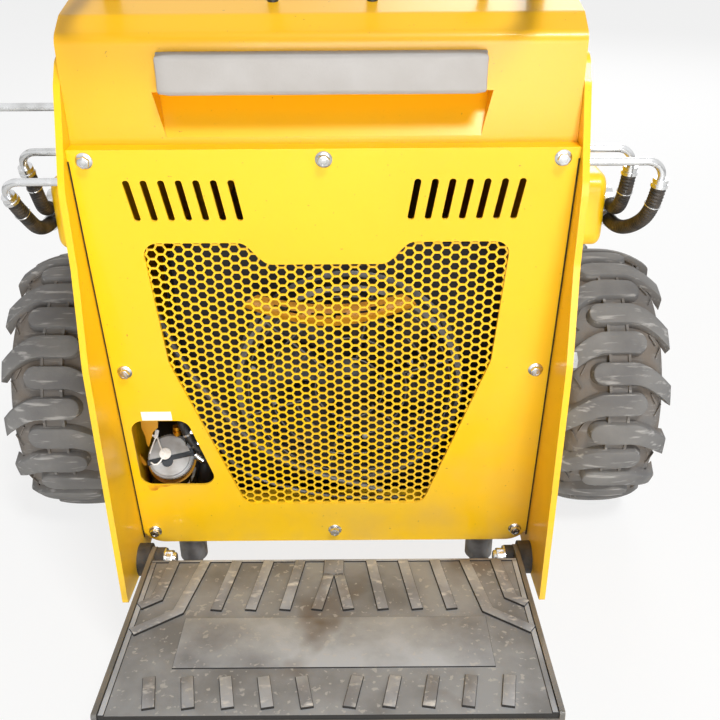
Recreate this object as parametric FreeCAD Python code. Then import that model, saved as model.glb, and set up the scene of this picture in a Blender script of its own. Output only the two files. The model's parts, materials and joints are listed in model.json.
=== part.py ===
import FreeCAD, Part

import math
import os

from FreeCAD import Vector

# Stand-on mini wheel loader, millimetres.  +Y is forward (bucket), +Z up, +X to
# the right of someone standing on the platform.  The ground is z = 0.  Each
# function below draws in the axle frame, where y = 0 is the rear axle, and
# save() moves the finished piece so that the machine is centred on the origin.

# ---- driving dimensions: wheels
tyre_diameter = 585.0
tyre_width = 220.0
rim_diameter = 305.0
rim_width = 178.0
wheel_base = 760.0
wheel_offset = 208.0
axle_height = tyre_diameter / 2

# ---- driving dimensions: chassis
chassis_width = 740.0
side_thickness = 10.0
belly_height = 200.0
belly_thickness = 8.0
belly_rear_y = -440.0
front_overhang = 85.0
chassis_front_y = wheel_base + front_overhang
front_plate_height = 570.0
inner_half = chassis_width / 2 - side_thickness
track = chassis_width + 2 * wheel_offset

# ---- driving dimensions: rear panel, a flat sheet whose top leans rearwards
panel_bottom_y = -503.0
panel_bottom_z = 224.0
panel_height = 776.0
panel_lean = 6.1
panel_thickness = 4.0
panel_gap = 0.3
ledge_depth = 27.0

# ---- driving dimensions: lift arms
arm_pivot_y = -354.0
arm_pivot_z = 838.0
arm_clearance = 12.0
arm_width = 71.0
arm_inner_x = chassis_width / 2 + arm_clearance
arm_outer_x = arm_inner_x + arm_width
arm_end_radius = 62.0
arm_end_corner = 26.0
arm_edge_round = 12.0
pivot_radius = 22.0
elbow_y = wheel_base - 120.0
elbow_z = 800.0
hinge_y = wheel_base + 350.0
hinge_z = 130.0
hinge_end_radius = 52.0
pin_radius = 16.0
running_gap = 0.05

# ---- driving dimensions: lift and tilt cylinders
lift_base_y = -345.0
lift_base_z = 522.0
lift_eye_y = -1.0
lift_eye_z = 710.0
lift_barrel_radius = 30.0
lift_barrel_length = 345.0
lift_rod_inset = 50.0
lift_rod_radius = 15.0
tilt_base_y = wheel_base + 70.0
tilt_base_z = 705.0
tilt_eye_dy = 18.0
tilt_eye_dz = 103.0
tilt_barrel_radius = 28.0
tilt_barrel_length = 400.0
tilt_rod_inset = 100.0
tilt_rod_radius = 14.0
cylinder_pin_radius = 12.0
tilt_eye_width = 36.0
eye_radius = 25.0
eye_neck = 38.0
lug_thickness = 10.0
lug_inset = 4.0
eye_side_gap = 3.5
lift_eye_width = arm_width - 2 * (lug_inset + lug_thickness + eye_side_gap)

# ---- driving dimensions: tool carrier and bucket
carrier_gap = 75.0
carrier_thickness = 12.0
carrier_width = 950.0
carrier_bottom_z = 45.0
carrier_top_z = 415.0
carrier_window_near = 95.0
carrier_window_far = 320.0
carrier_window_low = 190.0
carrier_window_high = 350.0
bucket_width = 1400.0
bucket_depth = 468.0
bucket_height = 425.0
bucket_wall = 8.0
bucket_clearance = 10.0
bucket_lip = 28.0
bucket_heel = 70.0
edge_depth = 90.0
edge_thickness = 16.0

# ---- driving dimensions: platform
platform_pivot_y = -547.0
platform_pivot_z = 219.0
platform_slope = 6.3
platform_length = 385.0
platform_half = inner_half - 23.0
flange_thickness = 8.0
flange_height = 42.0
deck_thickness = 5.0
mat_thickness = 12.0
buffer_radius = 26.0
buffer_x = inner_half - 83.0
buffer_y = -470.0
buffer_bottom_z = 166.0
buffer_tab_half = 18.0
seat_gap = 0.3

# ---- driving dimensions: rear cross beam
beam_bottom_z = 238.0
beam_half = 27.0

# ---- driving dimensions: engine, a plain block between the chassis sides
engine_side_room = 150.0
engine_rear_y = -400.0
engine_front_y = 60.0
engine_top_z = 760.0
engine_foot_height = 60.0
engine_foot_half = 30.0

# ---- driving dimensions: fuel tank in the rear left corner
tank_width = 132.0
tank_side_gap = 8.0
tank_rear_y = -440.0
tank_front_y = -300.0
tank_top_z = 372.0
tank_corner = 18.0
neck_radius = 27.0
neck_length = 96.0
cap_radius = 43.0
cap_height = 24.0

# ---- driving dimensions: console, with a knee recess under its pad
console_half = inner_half - 0.3
console_top_z = 1140.0
console_base_z = 1101.0
console_front_y = -250.0
recess_foot_half = 222.0
recess_head_half = 236.0
recess_foot_step = 10.0
recess_depth = 46.0
pad_low_z = 1068.0
pad_thickness = 30.0
pad_half = recess_head_half - 12.0

# ---- driving dimensions: controls on the console
rail_radius = 13.0
rail_bend = 45.0
rail_half = console_half - 50.0
rail_y = -650.0
rail_z = 1265.0
lever_radius = 8.0
lever_spacing = 140.0
grip_radius = 17.0
grip_length = 90.0
loader_lever_x = console_half - 130.0

# ---- driving dimensions: grille screen, a sheet with hexagonal holes
screen_margin = 18.0
screen_thickness = 2.0
cell_pitch = 16.0
cell_web = 3.2

# ---- driving dimensions: hydraulic lines
pipe_radius = 6.0
pipe_bend = 24.0
hose_radius = 10.5
ferrule_radius = 11.5
ferrule_length = 8.0

# ---- overall length, which sets where the origin lies
machine_rear_y = platform_pivot_y - 25.0 - platform_length * math.cos(math.radians(platform_slope))
machine_front_y = hinge_y + carrier_gap + carrier_thickness + 2.0 + bucket_depth
shift_y = -(machine_rear_y + machine_front_y) / 2


def save(name, *shapes):
    moved = [shape.copy() for shape in shapes]
    for shape in moved:
        shape.translate(Vector(0, shift_y, 0))
    whole = moved[0] if len(moved) == 1 else Part.makeCompound(moved)
    os.makedirs("parts", exist_ok=True)
    whole.exportStep("parts/" + name + ".step")


def rounded_wire(points, radii):
    """A closed planar outline whose corners are rounded by true arcs."""
    if not isinstance(radii, (list, tuple)):
        radii = [radii] * len(points)
    count = len(points)
    edges = []
    leave = []
    arrive = []
    for i, corner in enumerate(points):
        before = points[i - 1]
        after = points[(i + 1) % count]
        back = (before - corner).normalize()
        ahead = (after - corner).normalize()
        angle = back.getAngle(ahead)
        if radii[i] <= 0 or angle > math.pi - 1e-3:
            arrive.append(corner)
            leave.append(corner)
            edges.append(None)
            continue
        cut = radii[i] / math.tan(angle / 2)
        start = corner + back * cut
        end = corner + ahead * cut
        middle = (back + ahead).normalize()
        centre = corner + middle * (radii[i] / math.sin(angle / 2))
        top = centre - middle * radii[i]
        arrive.append(start)
        leave.append(end)
        edges.append(Part.Arc(start, top, end).toShape())
    outline = []
    for i in range(count):
        if edges[i]:
            outline.append(edges[i])
        following = arrive[(i + 1) % count]
        if leave[i].distanceToPoint(following) > 1e-6:
            outline.append(Part.LineSegment(leave[i], following).toShape())
    return Part.Wire(Part.__sortEdges__(outline))


def side_profile(points, x0, x1, radii=0.0):
    """A plate or block whose outline is given as (y, z) and runs from x0 to x1."""
    wire = rounded_wire([Vector(x0, y, z) for y, z in points], radii)
    return Part.Face(wire).extrude(Vector(x1 - x0, 0, 0))


def box(x0, x1, y0, y1, z0, z1):
    return Part.makeBox(x1 - x0, y1 - y0, z1 - z0, Vector(x0, y0, z0))


def bar_x(x0, x1, y, z, radius):
    """A round bar along X."""
    low = min(x0, x1)
    return Part.makeCylinder(radius, abs(x1 - x0), Vector(low, y, z), Vector(1, 0, 0))


def mirrored(shape):
    return shape.mirror(Vector(0, 0, 0), Vector(1, 0, 0))


def both_sides(name, shape):
    save(name + "_right", shape)
    save(name + "_left", mirrored(shape))


def tube(points, radius, bend=None):
    """A round tube along straight runs joined by tangent arcs."""
    edges = []
    last = points[0]
    for i in range(1, len(points) - 1):
        corner = points[i]
        back = (points[i - 1] - corner)
        ahead = (points[i + 1] - corner)
        shorter = min(back.Length, ahead.Length)
        back.normalize()
        ahead.normalize()
        half = (math.pi - back.getAngle(ahead)) / 2
        arc = bend if bend else 0.45 * shorter / math.tan(half)
        cut = arc * math.tan(half)
        start = corner + back * cut
        end = corner + ahead * cut
        middle = (back + ahead).normalize()
        centre = corner + middle * (arc / math.cos(half))
        top = centre - middle * arc
        edges.append(Part.LineSegment(last, start).toShape())
        edges.append(Part.Arc(start, top, end).toShape())
        last = end
        if not bend:
            print("hose arc radius", round(arc, 1))
    edges.append(Part.LineSegment(last, points[-1]).toShape())
    path = Part.Wire(edges)
    along = (points[1] - points[0]).normalize()
    ring = Part.Wire(Part.makeCircle(radius, points[0], along))
    solid = path.makePipeShell([ring], True, False)
    section = math.pi * radius * radius
    ratio = solid.Volume / (section * path.Length)
    print("tube volume over section times length", round(ratio, 4))
    return solid


# ---------------------------------------------------------------- rear panel frame
def panel_point(x, along, out=0.0):
    """A point on the rear panel: `along` runs up the sheet from its bottom edge."""
    lean = math.radians(panel_lean)
    y = panel_bottom_y - along * math.sin(lean) - out * math.cos(lean)
    z = panel_bottom_z + along * math.cos(lean) - out * math.sin(lean)
    return Vector(x, y, z)


def panel_prism(outline, radii, out0, out1):
    """A prism across the rear panel, from `out0` to `out1` behind its rear face."""
    wire = rounded_wire([panel_point(x, along, out0) for x, along in outline], radii)
    depth = panel_point(0, 0, out1) - panel_point(0, 0, out0)
    return Part.Face(wire).extrude(depth)


def grille_outline(margin=0.0):
    wide = inner_half - 85 + margin
    top = panel_height - 146 + margin
    right = [(wide - 184 - margin, top - 37), (wide - 151 - 2 * margin, top), (wide, top),
             (wide - 13, 412), (wide - 114, 96 - margin)]
    left = [(-x, along) for x, along in reversed(right)]
    return right + left


grille_radii = [22, 22, 22, 60, 24, 24, 60, 22, 22, 22]
window_outer_x = 16 - inner_half
window_outline = [(window_outer_x, 144), (window_outer_x, 292), (window_outer_x + 97, 292), (window_outer_x + 138, 144)]
louvre_count = 7
louvre_pitch = 25.0
louvre_outer_x = inner_half - 76.0
louvre_top = panel_height - 51.0
louvre_bottom = panel_height - 105.0
louvre_slant = 10.0
louvre_half_width = 5.0
bolt_columns = (24.0 - inner_half, 0.0, inner_half - 24.0)
bolt_top_row = panel_height - 16.0
bolt_middle_row = (panel_height + 14.0) / 2
bolt_bottom_row = 29.0
panel_bolt_radius = 6.0


def louvre(side, number):
    top_x = side * (louvre_outer_x - number * louvre_pitch)
    bottom_x = top_x - side * louvre_slant
    half = louvre_half_width
    outline = [(bottom_x - half, louvre_bottom - half), (bottom_x + half, louvre_bottom - half),
               (top_x + half, louvre_top + half), (top_x - half, louvre_top + half)]
    return panel_prism(outline, half * 0.9, -20, 20)


def rear_panel():
    half = inner_half - panel_gap
    outline = [(-half, 0), (half, 0), (half, panel_height), (-half, panel_height)]
    sheet = panel_prism(outline, [40, 40, 0.5, 0.5], 0, -panel_thickness)
    cutters = [panel_prism(grille_outline(), grille_radii, 20, -20)]
    cutters.append(panel_prism(window_outline, [22, 22, 22, 22], 20, -20))
    for side in (-1, 1):
        for number in range(louvre_count):
            cutters.append(louvre(side, number))
    for row in (bolt_top_row, bolt_middle_row, bolt_bottom_row):
        for x in bolt_columns:
            if row == bolt_middle_row and x == 0:
                continue
            centre = panel_point(x, row, 10)
            cutters.append(Part.makeCylinder(panel_bolt_radius, 20, centre, panel_point(0, 0, -1) - panel_point(0, 0)))
    sheet = sheet.cut(Part.makeCompound(cutters))
    top = panel_point(0, panel_height)
    ledge = box(-half, half, top.y + panel_thickness, top.y + ledge_depth,
                top.z - panel_thickness, top.z)
    save("rear_panel", sheet.fuse(ledge).removeSplitter())


def grille_half_width(along):
    """Half the width of the grille opening, grown by the screen's margin, at a height on the panel."""
    corners = sorted((point[1], point[0]) for point in grille_outline(screen_margin) if point[0] > 0)
    sides = [corners[0], corners[1], corners[-1]]
    for (low, low_half), (high, high_half) in zip(sides, sides[1:]):
        if along <= high:
            return low_half + (high_half - low_half) * (along - low) / (high - low)
    return sides[-1][1]


def screen_holes():
    """Flat-topped hexagons in staggered columns, only where one fits whole inside the sheet."""
    reach = (cell_pitch - cell_web) / math.sqrt(3)
    rim = cell_pitch / 2 + cell_web
    column_step = cell_pitch * math.sqrt(3) / 2
    foot = min(along for x, along in grille_outline(screen_margin))
    head = max(along for x, along in grille_outline(screen_margin))
    notch_half = min(x for x, along in grille_outline(screen_margin) if x > 0)
    notch_foot = grille_outline(screen_margin)[0][1]
    holes = []
    columns = int(grille_half_width(head) / column_step)
    for column in range(-columns, columns + 1):
        along = foot + rim + (cell_pitch / 2 if column % 2 else 0.0)
        x = column * column_step
        while along < head - rim:
            clear = abs(x) < grille_half_width(along) - rim
            notched = abs(x) < notch_half + 37 + rim and along > notch_foot - rim
            if clear and not notched:
                corners = []
                for turn in range(7):
                    angle = math.radians(60 * turn)
                    corners.append(panel_point(x + reach * math.cos(angle), along + reach * math.sin(angle),
                                               -panel_thickness))
                holes.append(Part.makePolygon(corners))
            along += cell_pitch
    return holes


def grille_screen():
    corners = [panel_point(x, along, -panel_thickness) for x, along in grille_outline(screen_margin)]
    sheet = Part.Face([rounded_wire(corners, 20)] + screen_holes())
    sheet = sheet.extrude(panel_point(0, 0, -screen_thickness) - panel_point(0, 0))
    save("grille_screen", sheet)


# ---------------------------------------------------------------- chassis
side_outline = [(-651, 210), (-645, 675), (-617, 830), (-614, 945), (-588, 1007), (-560, 1078),
                (-534, 1112), (-240, 1112), (-150, 1010), (wheel_base - 430, 700), (chassis_front_y, 590),
                (chassis_front_y, belly_height), (-520, belly_height - 10)]
side_radii = [6, 60, 60, 60, 60, 30, 30, 60, 80, 120, 40, 20, 40]


tie_down_holes = [(wheel_base / 2, 240)]
tie_down_radius = 15.0


def side_plate(line_places):
    plate = side_profile(side_outline, inner_half, chassis_width / 2, side_radii)
    holes = []
    for y, z in line_places:
        holes.append(bar_x(inner_half - 5, chassis_width / 2 + 5, y, z, pipe_radius + 0.2))
    holes.append(bar_x(inner_half - 5, chassis_width / 2 + 5, platform_pivot_y, platform_pivot_z, 10.2))
    for y, z in tie_down_holes:
        holes.append(bar_x(inner_half - 5, chassis_width / 2 + 5, y, z, tie_down_radius))
    return plate.cut(Part.makeCompound(holes))


def chassis():
    save("side_plate_right", side_plate([route[:2] for route in right_routes]))
    save("side_plate_left", mirrored(side_plate([route[:2] for route in left_routes] + [(spare_y, spare_z)])))
    belly = box(-inner_half, inner_half, belly_rear_y, chassis_front_y,
                belly_height, belly_height + belly_thickness)
    save("belly_plate", belly)
    front = box(-inner_half, inner_half, chassis_front_y - belly_thickness, chassis_front_y,
                belly_height + belly_thickness, front_plate_height)
    save("front_plate", front)
    beam = box(-inner_half, inner_half, buffer_y - beam_half, buffer_y + beam_half, beam_bottom_z, beam_bottom_z + 60)
    save("rear_beam", beam)


def engine():
    half = inner_half - engine_side_room
    floor_z = belly_height + belly_thickness
    under_z = floor_z + engine_foot_height
    block = box(-half, half, engine_rear_y, engine_front_y, under_z, engine_top_z)
    inset = 2 * engine_foot_half
    for x in (inset - half, half - inset):
        for y in (engine_rear_y + inset + 10, engine_front_y - inset - 10):
            block = block.fuse(box(x - engine_foot_half, x + engine_foot_half, y - engine_foot_half,
                                   y + engine_foot_half, floor_z, under_z))
    save("engine_block", block.removeSplitter())


cap_centre = Vector(60 - inner_half, -462, 390)
cap_axis = Vector(0, -0.72, 0.69).normalize()
cap_foot = cap_centre - cap_axis * 14


def fuel_tank():
    tank_outer_x = tank_side_gap - inner_half
    tank = box(tank_outer_x, tank_outer_x + tank_width, tank_rear_y, tank_front_y,
               belly_height + belly_thickness, tank_top_z)
    upright = [e for e in tank.Edges if abs(e.tangentAt(0).z) > 0.9]
    tank = tank.makeFillet(tank_corner, upright)
    neck = Part.makeCylinder(neck_radius, neck_length, cap_foot - cap_axis * neck_length, cap_axis)
    save("fuel_tank", tank.fuse(neck).removeSplitter())
    cap = Part.makeCylinder(cap_radius, cap_height, cap_foot, cap_axis)
    rim = [e for e in cap.Edges if e.Length > cap_radius]
    save("fuel_cap", cap.makeChamfer(1.5, rim))


cover_hinge_y = wheel_base - 415.0
cover_hinge_z = 670.0
cover_pin_radius = 8.0
cover_thickness = 5.0
cover_top = [(-232, 1083), (-145, 1000), (cover_hinge_y, 681.5)]
nose_top = [(cover_hinge_y + 17, 682), (chassis_front_y - 5, 576)]
side_clearance = 6.0


def sheet_under(top, half):
    """A folded sheet across the machine whose upper face follows `top`, given as (y, z)."""
    lower = [(y, z - cover_thickness) for y, z in reversed(top)]
    return side_profile(top + lower, -half, half)


def covers():
    half = inner_half - side_clearance
    knuckle = bar_x(-half, half, cover_hinge_y, cover_hinge_z, 13)
    bore = bar_x(-half, half, cover_hinge_y, cover_hinge_z, cover_pin_radius + running_gap)
    save("engine_cover", sheet_under(cover_top, half).fuse(knuckle).cut(bore).removeSplitter())
    save("cover_hinge_pin", bar_x(-inner_half, inner_half, cover_hinge_y, cover_hinge_z, cover_pin_radius))
    nose = sheet_under(nose_top, inner_half)
    save("nose_cover", nose)


def knee_recess(face_y, foot_z):
    """The wedge cut out of the console's rear face, deepest under the knee pad."""
    front_view = [(-recess_foot_half, foot_z), (-recess_head_half, pad_low_z),
                  (recess_head_half, pad_low_z), (recess_foot_half, foot_z)]
    wire = Part.makePolygon([Vector(x, face_y - 5, z) for x, z in front_view + front_view[:1]])
    prism = Part.Face(wire).extrude(Vector(0, recess_depth + 10, 0))
    wedge = side_profile([(face_y - 4, foot_z), (face_y, foot_z), (face_y + recess_depth, pad_low_z),
                          (face_y - 4, pad_low_z)], -recess_head_half - 5, recess_head_half + 5)
    return prism.common(wedge)


def console():
    base = panel_point(0, panel_height)
    face_y = base.y + ledge_depth
    bottom_z = base.z
    outline = [(face_y, bottom_z), (face_y, console_top_z), (face_y + 40, console_top_z + 24), (-330, 1205),
               (-262, 1150), (console_front_y, console_base_z), (face_y + 78, console_base_z),
               (face_y + 128, bottom_z)]
    body = side_profile(outline, -console_half, console_half, [0, 20, 20, 30, 20, 0, 0, 0])
    body = body.cut(knee_recess(face_y, bottom_z + recess_foot_step))
    save("console", body)
    pad_high_z = console_top_z - 18
    face = [(face_y, pad_low_z), (face_y, pad_high_z), (face_y - pad_thickness, pad_high_z),
            (face_y - pad_thickness, pad_low_z)]
    save("knee_pad", side_profile(face, -pad_half, pad_half, [0, 0, 10, 10]))
    return body


def controls(seat):
    grips = []
    for x in (-lever_spacing / 2, lever_spacing / 2):
        stem = tube([Vector(x, -470, 1170), Vector(x, -480, 1250), Vector(x, -500, 1300)], lever_radius, 60)
        grip = Part.makeCylinder(grip_radius, grip_length, Vector(x, -500, 1296), Vector(0, -0.37, 0.93))
        ends = [e for e in grip.Edges if e.Length > grip_radius * 5]
        grips.append(stem.fuse(grip.makeFillet(6, ends)).cut(seat))
    save("drive_levers", *grips)
    x = loader_lever_x
    stem = tube([Vector(x, -440, 1172), Vector(x, -446, 1240), Vector(x, -452, 1280)], lever_radius, 60)
    knob = Part.makeCone(13, 21, 44, Vector(x, -453, 1274), Vector(0, -0.15, 1))
    save("loader_lever", stem.fuse(knob).cut(seat))
    rail = tube([Vector(-rail_half, -420, 1175), Vector(-rail_half, -440, rail_z), Vector(-rail_half, rail_y, rail_z),
                 Vector(rail_half, rail_y, rail_z), Vector(rail_half, -440, rail_z),
                 Vector(rail_half, -420, 1175)], rail_radius, rail_bend)
    save("hand_rail", rail.cut(seat))


# ---------------------------------------------------------------- wheels
def wheel_places():
    return [("rear", 0.0), ("front", wheel_base)]


def revolve_x(profile, y, z, radii=0.0):
    """A solid of revolution about the line through (y, z) along X; profile is (x, r)."""
    wire = rounded_wire([Vector(x, y, z + r) for x, r in profile], radii)
    return Part.Face(wire).revolve(Vector(0, y, z), Vector(1, 0, 0), 360)


motor_length = 92.0
shaft_radius = 20.0
hub_radius = 62.0


def wheels():
    centre = track / 2
    half = tyre_width / 2
    outer = tyre_diameter / 2
    bead = rim_diameter / 2
    rim_half = rim_width / 2
    for place, y in wheel_places():
        start = chassis_width / 2
        motor = bar_x(start, start + 18, y, axle_height, 78)
        motor = motor.fuse(bar_x(start + 18, start + motor_length - 8, y, axle_height, 55))
        shaft_end = centre + 10
        motor = motor.fuse(bar_x(start + motor_length - 8, shaft_end, y, axle_height, shaft_radius))
        both_sides("wheel_motor_" + place, motor.removeSplitter())
        disc_x = centre + 6
        hub_start = start + motor_length
        rim = revolve_x([(hub_start, shaft_radius + running_gap), (hub_start, hub_radius),
                         (disc_x - 8, hub_radius), (disc_x - 8, bead - 14),
                         (centre - rim_half, bead - 6), (centre - rim_half, bead + 14),
                         (centre - rim_half + 7, bead + 14), (centre - rim_half + 7, bead),
                         (centre + rim_half - 7, bead), (centre + rim_half - 7, bead + 14),
                         (centre + rim_half, bead + 14), (centre + rim_half, bead - 6),
                         (disc_x, bead - 14), (disc_x, hub_radius), (disc_x + 30, hub_radius - 12),
                         (disc_x + 30, 0.01), (shaft_end + 0.5, 0.01),
                         (shaft_end + 0.5, shaft_radius + running_gap)],
                        y, axle_height)
        both_sides("wheel_" + place, rim)
        inner = centre - half
        far = centre + half
        seat = rim_half - 7
        tyre = revolve_x([(centre - seat, bead), (centre - seat, bead + 16), (inner, bead + 62),
                          (inner, outer - 40), (inner + 34, outer), (far - 34, outer),
                          (far, outer - 40), (far, bead + 62), (centre + seat, bead + 16),
                          (centre + seat, bead)],
                         y, axle_height, [0, 0, 40, 20, 20, 20, 20, 40, 0, 0])
        both_sides("tyre_" + place, tyre)


# ---------------------------------------------------------------- lift arms
cross_tube_y = wheel_base + 200.0
cross_tube_z = 290.0
cross_tube_radius = 38.0
upper_tube_y = wheel_base - 60.0
upper_tube_z = 745.0
upper_tube_radius = 38.0


def lift_arm():
    x0 = arm_inner_x
    x1 = arm_outer_x
    r = arm_end_radius
    outline = [(arm_pivot_y - r, arm_pivot_z + r), (elbow_y + 20, elbow_z + 62), (hinge_y + 42, hinge_z + 60),
               (hinge_y + 24, hinge_z - 50), (hinge_y - 60, hinge_z - 20), (elbow_y - 42, elbow_z - 60),
               (arm_pivot_y - r, arm_pivot_z - r)]
    arm = side_profile(outline, x0, x1, [arm_end_corner, 130, 40, 40, 40, 110, arm_end_corner])
    outer_edges = [e for e in arm.Edges if all(abs(v.X - x1) < 1e-6 for v in e.Vertexes)]
    arm = arm.makeFillet(arm_edge_round, outer_edges)
    bore = bar_x(x0 - 5, x1 + 12, arm_pivot_y, arm_pivot_z, pivot_radius + running_gap)
    hinge_bore = bar_x(x0 - 5, x1 + 5, hinge_y, hinge_z, pin_radius + running_gap)
    arm = arm.cut(bore).cut(hinge_bore)
    plugs = []
    for low in (x0 + lug_inset, x1 - lug_inset - lug_thickness):
        lug = side_profile([(lift_eye_y - 75, lift_eye_z + 70), (lift_eye_y + 75, lift_eye_z + 70),
                            (lift_eye_y + 25, lift_eye_z - 25), (lift_eye_y - 25, lift_eye_z - 25)],
                           low, low + lug_thickness, [0, 0, 22, 22])
        arm = arm.fuse(lug)
        plugs.append(bar_x(low, low + lug_thickness, lift_eye_y, lift_eye_z, cylinder_pin_radius))
    arm = arm.cut(Part.makeCompound(plugs))
    return arm.removeSplitter(), plugs


def arms():
    arm, plugs = lift_arm()
    both_sides("lift_arm", arm)
    both_sides("rod_pin", Part.makeCompound(plugs))
    lower = bar_x(-arm_inner_x, arm_inner_x, cross_tube_y, cross_tube_z, cross_tube_radius)
    save("arm_cross_tube", lower)
    upper = bar_x(-arm_inner_x, arm_inner_x, upper_tube_y, upper_tube_z, upper_tube_radius)
    ears = []
    near = tilt_eye_width / 2 + 4
    for x in (-near - 12, near):
        ear = side_profile([(upper_tube_y - 20, upper_tube_z + 20), (tilt_base_y + 26, tilt_base_z + 26),
                            (tilt_base_y + 26, tilt_base_z - 26), (upper_tube_y - 20, upper_tube_z - 30)],
                           x, x + 12, [10, 24, 24, 10])
        ears.append(ear)
    pin = bar_x(-near - 16, near + 16, tilt_base_y, tilt_base_z, cylinder_pin_radius)
    bracket = upper.fuse(ears[0]).fuse(ears[1]).fuse(pin)
    save("arm_upper_tube", bracket.removeSplitter())
    pivot = bar_x(chassis_width / 2, arm_outer_x + 5, arm_pivot_y, arm_pivot_z, pivot_radius)
    collar = bar_x(chassis_width / 2, arm_inner_x - 1, arm_pivot_y, arm_pivot_z, 55)
    both_sides("arm_pivot_pin", pivot.fuse(collar).removeSplitter())


def cylinder(x, base, eye, eye_width, barrel_radius, barrel_length, rod_radius, rod_inset, name):
    """A hydraulic cylinder whose barrel hangs on `base` and whose rod ends at `eye`, both (y, z)."""
    start = Vector(x, base[0], base[1])
    end = Vector(x, eye[0], eye[1])
    along = (end - start).normalize()
    half = eye_width / 2
    foot = bar_x(x - half, x + half, start.y, start.z, eye_radius)
    barrel = Part.makeCylinder(barrel_radius, barrel_length - eye_neck, start + along * eye_neck, along)
    neck = Part.makeCylinder(half - 2, eye_neck, start, along)
    barrel = barrel.fuse(neck).fuse(foot).cut(bar_x(x - half, x + half, start.y, start.z, cylinder_pin_radius + running_gap))
    bore = Part.makeCylinder(rod_radius + running_gap, barrel_length, start + along * 45, along)
    barrel = barrel.cut(bore)
    save(name + "_barrel", barrel.removeSplitter())
    rod_start = start + along * rod_inset
    rod = Part.makeCylinder(rod_radius, (end - rod_start).Length - 10, rod_start, along)
    ring = bar_x(x - half, x + half, end.y, end.z, eye_radius)
    save(name + "_rod", rod.fuse(ring).removeSplitter())


def hydraulics():
    lane = arm_inner_x + arm_width / 2
    for side, name in ((1, "lift_right"), (-1, "lift_left")):
        cylinder(side * lane, (lift_base_y, lift_base_z), (lift_eye_y, lift_eye_z), lift_eye_width,
                 lift_barrel_radius, lift_barrel_length, lift_rod_radius, lift_rod_inset, name)
    base_pin = bar_x(chassis_width / 2, lane + lift_eye_width / 2 + 12, lift_base_y, lift_base_z, cylinder_pin_radius)
    boss = bar_x(chassis_width / 2, lane - lift_eye_width / 2 - 1, lift_base_y, lift_base_z, 28)
    both_sides("lift_base_pin", base_pin.fuse(boss).removeSplitter())
    eye = (hinge_y + tilt_eye_dy, hinge_z + tilt_eye_dz)
    cylinder(0.0, (tilt_base_y, tilt_base_z), eye, tilt_eye_width,
             tilt_barrel_radius, tilt_barrel_length, tilt_rod_radius, tilt_rod_inset, "tilt")


# ---------------------------------------------------------------- carrier and bucket
def carrier():
    y0 = hinge_y + carrier_gap
    plate = box(-carrier_width / 2, carrier_width / 2, y0, y0 + carrier_thickness, carrier_bottom_z, carrier_top_z)
    upright = [e for e in plate.Edges if abs(e.tangentAt(0).y) > 0.9]
    plate = plate.makeFillet(30, upright)
    for side in (-1, 1):
        near = side * carrier_window_near
        far = side * carrier_window_far
        window = rounded_wire([Vector(near, y0 - 1, carrier_window_low), Vector(far, y0 - 1, carrier_window_low),
                               Vector(far, y0 - 1, carrier_window_high), Vector(near, y0 - 1, carrier_window_high)],
                              25)
        plate = plate.cut(Part.Face(window).extrude(Vector(0, carrier_thickness + 2, 0)))
    pieces = [plate]
    x1 = arm_outer_x
    for low in (arm_inner_x - 16, x1 + 4):
        ear = side_profile([(hinge_y - 34, hinge_z + 34), (y0, hinge_z + 90), (y0, hinge_z - 60),
                            (hinge_y - 34, hinge_z - 34)], low, low + 12, [32, 0, 0, 32])
        pieces.append(ear)
        pieces.append(mirrored(ear))
    pin = bar_x(arm_inner_x - 20, x1 + 20, hinge_y, hinge_z, pin_radius)
    pieces.append(pin)
    pieces.append(mirrored(pin))
    eye_y = hinge_y + tilt_eye_dy
    eye_z = hinge_z + tilt_eye_dz
    near = tilt_eye_width / 2 + 4
    far = near + 12
    for side in (-1, 1):
        lug = side_profile([(eye_y - 22, eye_z + 22), (y0, eye_z + 60), (y0, eye_z - 60), (eye_y - 22, eye_z - 22)],
                           min(side * near, side * far), max(side * near, side * far), [20, 0, 0, 20])
        pieces.append(lug)
        pieces.append(bar_x(side * far, side * (far + 6), eye_y, eye_z, cylinder_pin_radius + 4))
    whole = pieces[0]
    for piece in pieces[1:]:
        whole = whole.fuse(piece)
    save("tool_carrier", whole.removeSplitter())


def bucket():
    back = hinge_y + carrier_gap + carrier_thickness
    front = machine_front_y
    low = bucket_clearance
    top = low + bucket_height
    half = bucket_width / 2
    wall = bucket_wall
    cheek = [(back, low), (back, top), (back + 120, top), (front - 40, low + 40), (front - 20, low)]
    outer = side_profile(cheek, -half, half, [bucket_heel, 4, 60, 20, 0])
    inside = [(back + wall, low + wall), (back + wall, top - wall), (back + bucket_lip, top - wall),
              (back + bucket_lip, top + 100), (front + 100, top + 100), (front + 100, low + wall)]
    inner = side_profile(inside, -half + wall, half - wall, [bucket_heel - wall, 6, 0, 0, 0, 0])
    save("bucket", outer.cut(inner).removeSplitter())
    edge = side_profile([(front - edge_depth, low), (front - edge_depth, low - edge_thickness + wall),
                         (front, low - edge_thickness + wall), (front - 24, low)], -half, half)
    save("cutting_edge", edge)


# ---------------------------------------------------------------- platform
def platform_place(shape):
    pivot = Vector(0, platform_pivot_y, platform_pivot_z)
    shape.rotate(pivot, Vector(1, 0, 0), -platform_slope)
    return shape


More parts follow.
